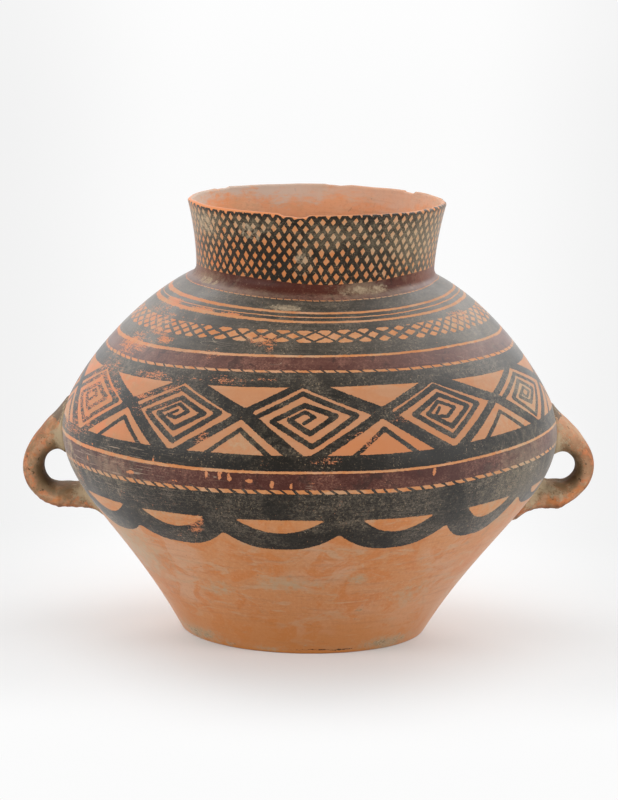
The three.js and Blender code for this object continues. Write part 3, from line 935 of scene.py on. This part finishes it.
    # a dark crack just over the foot, at the front
    crack_at = w.times_plus(slow, 4.0, w.times_plus(quick, 2.0, level))
    crack_width = w.ease(w.noise(at, 130, 3, 0.7), 0.38, 0.62, 0.12, 0.8)
    crack = ((abs(crack_at - CRACK_HEIGHT) < crack_width)
             * (abs(turn - (0.5 + CRACK_TURN / 360)) < CRACK_REACH / 360))

    soil = w.group(soil_group(), {"Vector": at, "Amount": w.field("soiled") + 0.14})
    crust = w.mix(w.ease(fine, 0.40, 0.58), w.mix(w.ease(level, 60, 100), LOW_CRUST, HIGH_CRUST), PALE_CRUST)
    clay = fired_clay(w, at, 0.5, 0.6)
    tone = w.layers(clay["Color"], [
        # painted shade: the clay in the broad band is darkened, as the band faces up into the light
        (in_band * 0.7, SHADED_BAND_CLAY),
        (orange * in_band * 0.75, BAND_ORANGE),
        (on_left * w.ease(level, 150, 200, 0, 0.7), LEFT_CLAY),
        (bared * w.ease(flake, 0.4, 0.6, 0.4, 0.9), BARED_CLAY),
        (low_neck * 0.75, LOW_NECK_CLAY),
        (w.ease(level, 409, 411.5) * w.ease(turn, 0.53, 0.46, 0.25, 0.9), LIP_CLAY),
        # painted shade near the floor: the clay turns deeper and more saturated towards the foot
        (w.ease(level, 60, 10, 0, 0.6), LOW_CLAY_SHADE),
        (w.ease(level, 5, 1.5, 0, 0.7), FOOT_CLAY_SHADE),
        (haze * w.ease(bared, 0, 1, 0.72, 0.25), c.soil),
        (maroon, w.mix(haze * 0.28, maroon_tone, c.soil)),
        (black, w.mix(haze * film, black_tone, c.soil)),
        (hairs * painted * (scraped * 0.6), SCRAPED),
        (scratch * painted * 0.5, SCRATCHED),
        (bloom_and_sheen * w.ease(painted, 0, 1, 0.5, 1), BLOOM_AND_SHEEN),
        (crack * 0.9, CRACKED),
        (soil["Mask"] * w.ease(level, 60, 100, 0.85, 0.68), crust),
    ])
    roughness = w.ease(w.noise(at, 40, 4), 0.3, 0.7, 0.42, 0.56) + (1.0 - painted) * 0.16 + soil["Mask"] * 0.25
    relief = clay["Height"] * 0.8 + painted * 0.15 + soil["Height"] * 0.8
    finish_shader(w, shader, tone, roughness, 0.13, relief, 0.35, 0.6 * MM)
    w.put(0.32, shader.inputs["Sheen Weight"])
    w.put(0.3, shader.inputs["Sheen Roughness"])
    return material


REDDISH, OLIVE, PALE_TOP, BEIGE, DARK_PIT = (
    (0.50, 0.165, 0.065), (0.20, 0.135, 0.07), (0.50, 0.27, 0.16), (0.40, 0.28, 0.17), (0.05, 0.035, 0.02))


@made_once("materials", "handle clay")
def handle_clay(name):
    """Browner clay of the handles, soiled in the hollows, with the band's black over the upper root."""
    material, w, shader = new_material(name)
    c = colours()
    at = w.place()
    x, _, z = w.split(at)
    clay = fired_clay(w, at, 1.0, 0.9, Clay=c.handle)
    outward, drift = w.field("outward"), (w.noise(at, 70, 5, 0.65) - 0.5) * 1.6
    # painted shade, partly soil: the faces inside the loops turn dull brown
    hollow = w.ease(drift - outward, -0.15, 0.55)

    def by_side(left, right):
        return w.ease(x, -50 * MM, 50 * MM, left, right)

    reddish = w.ease(w.noise(at, 120, 7, 0.78, 0.5), 0.50, 0.58) * w.ease(hollow, 0, 1, 0.8, 0.2)
    edge = (w.noise(at, 90, 4) - 0.5) * 9.0 + w.field("band")
    black = (edge > 0.0) * (w.noise(at, 170, 6, 0.72) < 0.6)
    soil = w.group(soil_group(), {"Vector": at, "Amount": w.field("soiled")})
    tone = w.layers(clay["Color"], [
        (w.ease(outward + drift, 0.15, 0.9) * 0.8, c.handle_outer),
        (hollow * 0.8, c.handle_hollow_soil_and_shade),
        (reddish, REDDISH),
        (w.ease(w.noise(at, 85, 6, 0.76, 0.6), 0.50, 0.60) * by_side(0.75, 0.4), OLIVE),
        (w.ease(z + drift * (8 * MM), 144 * MM, 166 * MM) * by_side(0.1, 0.65), PALE_TOP),
        (w.ease(w.noise(at, 60, 6, 0.72), 0.50, 0.60) * by_side(0.3, 0.6), BEIGE),
        (w.ease(w.noise(at, 300, 2, 0.5), 0.66, 0.70) * 0.75, DARK_PIT),
        (black * 0.85, c.black_worn),
        (soil["Mask"] * 0.75, c.soil),
    ])
    finish_shader(w, shader, tone, clay["Roughness"] + -0.04, 0.15, clay["Height"] + soil["Height"], 0.6, 0.9 * MM)
    return material


# ---- pieces ----

def piece_object(name, mesh, nodes):
    item = bpy.data.objects.new(name, mesh)
    bpy.context.collection.objects.link(item)
    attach(item, BODY)
    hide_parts(*nodes)
    return item


def set_field(mesh, label, values):
    mesh.attributes.new(label, "FLOAT", "POINT").data.foreach_set("value", np.array(values, np.float32))


# Chips out of the lip: degrees, half-width in degrees, depth in millimetres
CHIPS = [(-10.0, 7.0, 2.2), (-6.0, 3.0, 0.8), (131.0, 4.0, 1.8), (-130.0, 5.0, 1.1), (62.0, 3.0, 0.6),
         (-95.0, 7.0, 0.8), (96.0, 5.0, 0.7), (170.0, 6.0, 0.9)]
# How far under the lip its dips and its chips reach
DIP_REACH, CHIP_REACH = 16 * MM, 5 * MM


def worn_lip(turn, height):
    """Heights with the dips and the chips of the lip taken off."""
    top = sizes().jar_height
    near = np.clip((height - (top - DIP_REACH)) / DIP_REACH, 0.0, 1.0) ** 2
    dip = 0.35 + 0.3 * np.sin(3 * turn + 1.0) + 0.25 * np.sin(7 * turn + 2.0) + 0.12 * np.sin(17 * turn)
    height = height - np.clip(dip, 0, None) * MM * near
    degrees = np.degrees(turn)
    for middle, half, depth in CHIPS:
        notch = np.clip(1 - (turn_between(degrees, middle) / half) ** 2, 0, 1) ** 0.7
        ragged = 1 + 0.2 * np.sin(degrees * 0.9 + middle)
        height = height - notch * ragged * depth * MM * np.clip((height - (top - CHIP_REACH)) / CHIP_REACH, 0, 1)
    return height


def wrap_map(mesh, turn, level):
    """The wrap map: a turn round the jar is 1 across, a metre along the outline is 1 up."""
    corners = np.empty(len(mesh.loops), np.int32)
    mesh.loops.foreach_get("vertex_index", corners)
    starts, counts = (np.empty(len(mesh.polygons), np.int32) for _ in range(2))
    mesh.polygons.foreach_get("loop_start", starts)
    mesh.polygons.foreach_get("loop_total", counts)
    share = turn[corners] / (2 * math.pi) + 0.5
    # a face over the seam at the back keeps its corners on one side of it
    widest = np.repeat(np.maximum.reduceat(share, starts), counts)
    share += ((widest - share) > 0.5) * 1.0
    wrap = mesh.uv_layers.new(name="wrap")
    wrap.data.foreach_set("uv", np.stack([share, level[corners] * MM], -1).astype(np.float32).ravel())


def wall_piece(name, runs):
    """Joins turned skins into one closed wall, shapes it by hand and lays the paint fields on it.
    Each run is its section points, its rows, its crowding, and whether it is the outside."""
    outline = Outline()
    z = sizes()
    coat = {True: painted_clay(), False: bare_clay()}
    corners, faces, outer, face_outer = [], [], [], []
    for points, rows, crowding, outside in runs:
        found, quads = turned_skin(points, rows, coat[outside], crowding)
        base = sum(len(c) for c in corners)
        corners.append(found)
        faces += [tuple(base + i for i in quad) for quad in quads]
        outer += [outside] * len(found)
        face_outer += [outside] * len(quads)
    at = np.concatenate(corners)

    lean = z.lean / z.jar_height
    turn = np.arctan2(at[:, 0] - lean * at[:, 2], -at[:, 1])
    radius = np.hypot(at[:, 0] - lean * at[:, 2], at[:, 1])
    height = at[:, 2].copy()
    run = outline.at_height(height)
    shift = np.where(np.array(outer)[:, None], outline.place(run) - outline.sharp(run), 0.0)
    radius, height = radius + shift[:, 0], height + shift[:, 1]
    radius = np.where(radius > 1 * MM, radius - hand_waver(turn, height), radius)
    height = worn_lip(turn, height)
    at = np.stack([radius * np.sin(turn) + lean * height, -radius * np.cos(turn), height], -1)

    mesh = bpy.data.meshes.new(name)
    mesh.from_pydata(at.tolist(), [], faces)
    mesh.materials.append(coat[True])
    mesh.materials.append(coat[False])
    mesh.polygons.foreach_set("material_index", [0 if o else 1 for o in face_outer])

    degrees, mm_per_degree = np.degrees(turn), np.radians(1.0) * radius / MM
    level = ring_height(degrees, run / MM)
    on_wall = degrees, level, mm_per_degree
    for label, values in zip(("crossings", "spirals", "between_spirals"), lozenge_band(*on_wall)):
        set_field(mesh, label, values)
    set_field(mesh, "garland", np.where(level < GARLAND_TOP, garland(*on_wall), NO_PAINT))
    set_field(mesh, "rubbed", spots(*on_wall, RUBBED))
    set_field(mesh, "soiled", spots(*on_wall, SOILED))
    set_field(mesh, "dusty", spots(*on_wall, DUSTY, 1.0))
    wrap_map(mesh, turn, level)

    shape = bmesh.new()
    shape.from_mesh(mesh)
    bmesh.ops.remove_doubles(shape, verts=shape.verts, dist=SEAM_WELD)
    for edge in shape.edges:
        edge.smooth = len({f.material_index for f in edge.link_faces}) == 1
    for face in shape.faces:
        face.smooth = True
    shape.to_mesh(mesh)
    shape.free()
    return piece_object(name, mesh, [name])


def inset(points, distance):
    """Section points of the inner skin: the outer ones moved in along the section's normals. Both ends move
    in level, so that they meet their neighbours."""
    outer = np.array(points)
    along = np.array([outer[1] - outer[0], outer[1] - outer[0], outer[3] - outer[2], outer[3] - outer[2]])
    along /= np.linalg.norm(along, axis=1, keepdims=True)
    inner = outer + distance * np.stack([-along[:, 1], along[:, 0]], -1)
    for end in (0, 3):
        inner[end] = outer[end] - (distance, 0.0)
    return [tuple(p) for p in inner]


def flat(start, end):
    a, b = np.array(start), np.array(end)
    return [tuple(a), tuple(a + (b - a) / 3), tuple(a + (b - a) * 2 / 3), tuple(b)]


def back_of_wall(outer, inner, rows):
    """The runs behind an outer skin: over its top, down the inside, and under its foot."""
    return [(flat(outer[3], inner[3]), 1, 1.0, False), *inside_and_foot(outer, inner, rows)]


def inside_and_foot(outer, inner, rows):
    return [(inner[::-1], rows, 1.0, False), (flat(inner[0], outer[0]), 1, 1.0, False)]


class JAR_OT_base_slab(bpy.types.Operator):
    """Round slab of clay under the walls, with a softened foot edge"""
    bl_idname = "jar.base_slab"
    bl_label = "Base slab"

    def execute(self, context):
        z = sizes()
        soft = 1.8 * MM
        edge = [(z.foot_radius - soft, 0.0), (z.foot_radius, 0.0), (z.foot_radius + 0.3 * MM, 0.5 * MM),
                (z.foot_radius + z.cone_flare * soft, soft)]
        side = flat(edge[3], (z.slab_top_radius, z.slab_thickness))
        top = flat((z.slab_top_radius, z.slab_thickness), (0.0, z.slab_thickness))
        underside = flat((0.0, 0.0), edge[0])
        wall_piece("base_slab", [(underside, 12, 1.0, False), (edge, 4, 1.0, True), (side, 5, 1.0, True),
                                 (top, 12, 1.0, False)])
        return {"FINISHED"}


class JAR_OT_lower_wall(bpy.types.Operator):
    """Coiled wall from the slab to the widest circle"""
    bl_idname = "jar.lower_wall"
    bl_label = "Lower wall"

    def execute(self, context):
        outer = cone_points()
        inner = inset(outer, sizes().wall)
        wall_piece("lower_wall", [(outer, 92, 0.66, True), *back_of_wall(outer, inner, 14)])
        return {"FINISHED"}


class JAR_OT_upper_wall(bpy.types.Operator):
    """Domed shoulder from the widest circle to the neck"""
    bl_idname = "jar.upper_wall"
    bl_label = "Upper wall"

    def execute(self, context):
        outer = shoulder_points()
        inner = inset(outer, sizes().wall)
        wall_piece("upper_wall", [(outer, 106, 1.0, True), *back_of_wall(outer, inner, 14)])
        return {"FINISHED"}


class JAR_OT_neck_collar(bpy.types.Operator):
    """Flared neck with its rounded, chipped lip"""
    bl_idname = "jar.neck_collar"
    bl_label = "Neck collar"

    def execute(self, context):
        z = sizes()
        outer = neck_points()
        inner = [(r - z.wall + (z.wall - z.lip) * i / 3, h) for i, (r, h) in enumerate(outer)]
        edge, inner_edge = np.array(outer[3]), np.array(inner[3])
        bulge = np.array((0.0, z.lip * 2 / 3))
        crown = (edge + inner_edge) / 2 + bulge * 0.75
        sideways = (inner_edge - edge) / 4
        outer_lip = [tuple(p) for p in (edge, edge + bulge / 2, crown - sideways, crown)]
        inner_lip = [tuple(p) for p in (crown, crown + sideways, inner_edge + bulge / 2, inner_edge)]
        wall_piece("neck_collar", [(outer, 60, 1.0, True), (outer_lip, 6, 1.0, True), (inner_lip, 5, 1.0, False),
                                   *inside_and_foot(outer, inner, 36)])
        return {"FINISHED"}


class Handle(NamedTuple):
    """A loop handle, in millimetres."""
    side: int
    drop: float  # from the widest circle down to the middle of the hole
    hole_height: float
    thickness: float
    top_root: float  # thickness of the strap at its roots
    low_root: float
    band: float  # how low the band's black runs on the upper root
    low_reach: float  # reach and thickness of the clay smoothed out under the lower root
    low_spread: float


HANDLES = {
    "handle_left": Handle(-1, 36.0, 27.0, 17.0, 34.0, 19.5, 167.0, 9.0, 3.5),
    "handle_right": Handle(1, 29.0, 23.5, 15.0, 29.0, 22.5, 177.0, 17.0, 6.5),
}
HANDLE_PROJECTION, HOLE_WIDTH, STRAP_WIDTH = 30.0, 24.0, 31.0
STRAP_SQUARENESS, ROOT_SPREAD, ROOT_FLARE, TAIL_FLARE, TAIL_CURVE = 2.5, 0.35, 3.5, 7.0, 4.0
HEAD_STEPS, LOOP_STEPS, TAIL_STEPS, SECTION_POINTS = 8, 90, 36, 64
FILLET_REACH, FILLET_SPREAD = 7.0, 3.2
# Below the first height the lower root's fillet is used, and below the second one the clay is lumpy
LOW_FILLET_TOP, LUMPS_TOP = 115.0, 110.0


def wall_radius(outline, height_mm):
    return float(outline.sharp(outline.at_height(np.array(height_mm * MM)))[0]) / MM


def strap_stations(outline, handle):
    """Pairs of points, on the inner and the outer face of a strap, from the upper root to the lower, in mm,
    and how much wider the strap is there."""
    z = sizes()
    belly, wall, thickness = z.belly_radius / MM, z.wall / MM, handle.thickness
    centre = np.array((belly + HANDLE_PROJECTION - thickness - HOLE_WIDTH / 2, z.belly_height / MM - handle.drop))

    def on_loop(turn):
        rise = abs(turn) / (math.pi / 2)
        root = handle.top_root if turn > 0 else handle.low_root
        thick = thickness + (root - thickness) * rise ** ROOT_FLARE
        hole = np.array((HOLE_WIDTH / 2 * math.cos(turn), handle.hole_height / 2 * math.sin(turn)))
        out = hole * (1 + thick / np.linalg.norm(hole))
        return hole + centre, out + centre, 1 + ROOT_SPREAD * rise ** ROOT_FLARE

    top, foot = on_loop(math.pi / 2), on_loop(-math.pi / 2)
    stations = []
    for share in np.linspace(0.0, 1.0, HEAD_STEPS)[:-1]:
        x = belly - wall + (centre[0] - belly + wall) * share
        stations.append((np.array((x, top[0][1])), np.array((x, top[1][1] + wall * (1 - share))), top[2]))
    stations += [on_loop(math.pi / 2 * (1 - 2 * i / LOOP_STEPS)) for i in range(LOOP_STEPS + 1)]
    end = wall_radius(outline, foot[1][1] - TAIL_FLARE) - wall
    for i in range(1, TAIL_STEPS + 1):
        share = i / TAIL_STEPS
        x = centre[0] + (end - centre[0]) * share
        stations.append((np.array((x, foot[0][1])), np.array((x, foot[1][1] - TAIL_FLARE * share ** TAIL_CURVE)),
                         foot[2]))
    return stations


def hand_shaped(handle, spot, away, out, gap):
    """A point of the strap with the fillet at the wall added, and the dents and lumps of the hand taken off."""
    low = spot[2] < LOW_FILLET_TOP and out > 0.0
    reach, spread = (handle.low_reach, handle.low_spread) if low else (FILLET_REACH, FILLET_SPREAD)
    spot = spot + away * (spread * max(0.0, 1 - max(gap, 0.0) / reach) ** 2)
    x, y, z = spot
    dent = (0.5 * math.sin(0.21 * z + handle.side) * math.sin(0.33 * y + 1.3)
            + 0.35 * math.sin(0.55 * x + 0.4 * y))
    lump = math.sin(0.93 * x + 0.5 * y) * math.sin(0.71 * y - 0.6 * z + handle.side)
    under = max(0.0, min(1.0, (LUMPS_TOP - z) / 10.0, gap / 15.0)) * max(0.0, out)
    return spot - away * (0.5 + 0.5 * dent + 0.55 * under * (1 + lump))


def rounded(value):
    """Pulls a sine or a cosine towards the corners of the strap's squarish section."""
    return math.copysign(abs(value) ** (2 / STRAP_SQUARENESS), value)


def strap_piece(name):
    """A handle: one strap of clay, hand-smoothed where it meets the wall."""
    outline = Outline()
    z = sizes()
    handle = HANDLES[name]
    stations = strap_stations(outline, handle)
    corners, band, outward, soiled = [], [], [], []
    for inner, outer, spread in stations:
        middle, half = (inner + outer) / 2, (outer - inner) / 2
        for i in range(SECTION_POINTS):
            turn = 2 * math.pi * i / SECTION_POINTS
            out, wide = rounded(math.cos(turn)), rounded(math.sin(turn))
            across = STRAP_WIDTH / 2
            spot = np.array((middle[0] + half[0] * out, across * spread * wide, middle[1] + half[1] * out))
            away = np.array((half[0] * out, across * wide, half[1] * out))
            away /= np.linalg.norm(away) + 1e-9
            away[0] *= 0.2
            gap = math.hypot(spot[0], spot[1]) - wall_radius(outline, spot[2])
            spot = hand_shaped(handle, spot, away, out, gap)
            corners.append(spot)
            band.append((spot[2] - handle.band) + 6.0 * (1 - gap / 9.0))
            outward.append(out)
            soiled.append(0.55 + 0.25 * abs(wide) ** 3 - 0.35 * max(0.0, out)
                          + 0.6 * max(0.0, 1 - abs(gap) / 14.0))
    at = np.array(corners) * MM
    ring, count = SECTION_POINTS, len(stations)
    faces = []
    for row in range(count - 1):
        for i in range(ring):
            j = (i + 1) % ring
            a, b = row * ring, (row + 1) * ring
            faces.append((a + i, b + i, b + j, a + j))
    # a cap at each end, inside the wall
    for row in (0, count - 1):
        at = np.vstack([at, at[row * ring:(row + 1) * ring].mean(0)])
        for values, at_cap in ((band, NO_PAINT), (outward, 0.0), (soiled, 0.5)):
            values.append(at_cap)
    for i in range(ring):
        j = (i + 1) % ring
        faces.append((count * ring, i, j))
        faces.append((count * ring + 1, (count - 1) * ring + j, (count - 1) * ring + i))
    if handle.side < 0:
        at[:, :2] *= -1
    at[:, 0] += z.lean / z.jar_height * at[:, 2]
    mesh = bpy.data.meshes.new(name)
    mesh.from_pydata(at.tolist(), [], faces)
    for label, values in (("band", band), ("outward", outward), ("soiled", soiled)):
        set_field(mesh, label, values)
    mesh.polygons.foreach_set("use_smooth", [True] * len(mesh.polygons))
    mesh.materials.append(handle_clay())
    shape = bmesh.new()
    shape.from_mesh(mesh)
    bmesh.ops.recalc_face_normals(shape, faces=shape.faces)
    shape.to_mesh(mesh)
    shape.free()
    return piece_object(name, mesh, [name])


class JAR_OT_handles(bpy.types.Operator):
    """The two loop handles, each a strap luted to the wall below its widest circle"""
    bl_idname = "jar.handles"
    bl_label = "Loop handles"

    def execute(self, context):
        for name in HANDLES:
            strap_piece(name)
        return {"FINISHED"}


# ---- stage ----

CAMERA_PLACE = (1.43, -2818.6, 687.0)
CAMERA_PITCH, CAMERA_ROLL = 10.18, 1.05
CAMERA_LENS, CAMERA_SENSOR, CAMERA_REACH = 164.3, 36.0, 50.0
FLOOR_REACH = 12.0
# Where the camera stands in front of the jar, and how far off its axis it looks, for the shading of the floor
CAMERA_AWAY, CAMERA_ASIDE = 2.82, 0.003
WHITE = (1.0, 1.0, 1.0)
# Each light: its place, its size and its power. They all face the middle of the jar
LIGHTS = {
    "left light": ((-1.6, -1.1, 0.95), 1.0, 25.5),
    "right light": ((1.6, -1.1, 0.95), 1.0, 25.0),
    "back left light": ((-1.2, 1.4, 1.6), 1.2, 20.0),
    "back right light": ((1.2, 1.4, 1.6), 1.2, 20.0),
}
LIT_POINT = (0, 0, 0.15)


def new_camera(context):
    data = bpy.data.cameras.new("camera")
    data.lens, data.sensor_width, data.clip_end = CAMERA_LENS, CAMERA_SENSOR, CAMERA_REACH
    camera = bpy.data.objects.new("camera", data)
    context.collection.objects.link(camera)
    pitch, roll = math.radians(CAMERA_PITCH), math.radians(CAMERA_ROLL)
    right, up = Vector((1, 0, 0)), Vector((0, math.sin(pitch), math.cos(pitch)))
    ahead = Vector((0, math.cos(pitch), -math.sin(pitch)))
    right, up = right * math.cos(roll) + up * math.sin(roll), up * math.cos(roll) - right * math.sin(roll)
    turned = Matrix((right, up, -ahead)).transposed().to_4x4()
    camera.matrix_world = Matrix.Translation(Vector(CAMERA_PLACE) * MM) @ turned
    return camera


def pale_floor():
    material, w, shader = new_material("pale floor")
    w.put(0.7, shader.inputs["Roughness"])
    # the floor fades into the white surroundings away from the jar, for the camera and in reflections
    at = w.place()
    away = w.out(w.node("ShaderNodeVectorMath", {0: at}, operation="LENGTH"), "Value")
    path = w.node("ShaderNodeLightPath")
    seen = w.most(w.out(path, "Is Camera Ray"), w.out(path, "Is Glossy Ray"))
    fade = w.ease(away, 0.10, 0.45, 0.15, 1) * seen
    # painted shadow: a little greyer beside the jar; painted shade: greyer towards both sides of the backdrop
    x, y, _ = w.split(at)
    beside = w.ease(abs(y), 0.08, 0.30, 0.955, 1)
    off_axis = abs(x / (y + CAMERA_AWAY) - CAMERA_ASIDE)
    sides = w.ease(off_axis, 0.035, 0.095, 0, 0.085) * w.ease(y, -0.32, -0.15)
    tone = (w.ease(away, 3.5, 7, 0.970, 0.985) - sides) * beside
    grey = w.out(w.node("ShaderNodeCombineColor", {0: beside, 1: beside, 2: beside}))
    w.put(w.mix(1.0, colours().floor, grey, "MULTIPLY"), shader.inputs["Base Color"])
    glow = w.out(w.node("ShaderNodeEmission", {"Color": WHITE, "Strength": tone}))
    w.surface("Material Output", fade, w.out(shader), glow)
    return material


def light_room(world):
    """A white room that lights the jar unevenly: dimmer on the camera's side and overhead, and bright behind
    and beside the jar. The camera sees it plain white."""
    world.use_nodes = True
    w = Wires(world.node_tree)
    lit = w.nodes["Background"]
    w.put(WHITE, lit.inputs["Color"])
    _, y, z = w.split(w.out(w.node("ShaderNodeTexCoord"), "Generated"))
    w.put(w.ease(y, -0.75, 0.3, 0.2, 1.08) * w.ease(z, 0.5, 1, 1, 0.8), lit.inputs["Strength"])
    plain = w.out(w.node("ShaderNodeBackground", {"Color": WHITE, "Strength": 1.0}))
    w.surface("World Output", w.out(w.node("ShaderNodeLightPath"), "Is Camera Ray"), w.out(lit), plain)


class JAR_OT_stage(bpy.types.Operator):
    """Pale floor, soft studio light and the camera"""
    bl_idname = "jar.stage"
    bl_label = "Studio stage"

    def execute(self, context):
        scene = context.scene
        scene.view_settings.view_transform = "Standard"
        scene.camera = new_camera(context)

        floor_mesh = bpy.data.meshes.new("floor")
        floor_mesh.from_pydata([(x * FLOOR_REACH, y * FLOOR_REACH, 0)
                                for x, y in ((-1, -1), (1, -1), (1, 1), (-1, 1))], [], [(0, 1, 2, 3)])
        floor_mesh.materials.append(pale_floor())
        floor = bpy.data.objects.new("floor", floor_mesh)
        context.collection.objects.link(floor)

        scene.world = bpy.data.worlds.new("studio")
        light_room(scene.world)

        for label, (place, size, power) in LIGHTS.items():
            data = bpy.data.lights.new(label, "AREA")
            data.shape, data.size, data.size_y, data.energy = "RECTANGLE", size, size, power
            lamp = bpy.data.objects.new(label, data)
            context.collection.objects.link(lamp)
            lamp.location = place
            lamp.rotation_euler = (Vector(LIT_POINT) - Vector(place)).to_track_quat("-Z", "Y").to_euler()
        return {"FINISHED"}


class JAR_PT_panel(bpy.types.Panel):
    """Lists the jar's sizes, colours and building steps"""
    bl_idname = "JAR_PT_panel"
    bl_label = "Painted storage jar"
    bl_space_type = "VIEW_3D"
    bl_region_type = "UI"
    bl_category = "Jar"

    def draw(self, context):
        layout = self.layout
        for operator in STEPS:
            layout.operator(operator.bl_idname)
        for group in (context.scene.jar_sizes, context.scene.jar_colours):
            box = layout.box()
            for name in group.__annotations__:
                box.prop(group, name)


STEPS = (JAR_OT_base_slab, JAR_OT_lower_wall, JAR_OT_upper_wall, JAR_OT_neck_collar, JAR_OT_handles, JAR_OT_stage)
CLASSES = (JarSizes, JarColours, *STEPS, JAR_PT_panel)


def register():
    for each in CLASSES:
        bpy.utils.register_class(each)
    bpy.types.Scene.jar_sizes = PointerProperty(type=JarSizes)
    bpy.types.Scene.jar_colours = PointerProperty(type=JarColours)


def unregister():
    del bpy.types.Scene.jar_colours
    del bpy.types.Scene.jar_sizes
    for each in reversed(CLASSES):
        bpy.utils.unregister_class(each)


def main():
    register()
    bpy.ops.jar.base_slab()
    bpy.ops.jar.lower_wall()
    bpy.ops.jar.upper_wall()
    bpy.ops.jar.neck_collar()
    bpy.ops.jar.handles()
    bpy.ops.jar.stage()


if __name__ == "__main__":
    main()
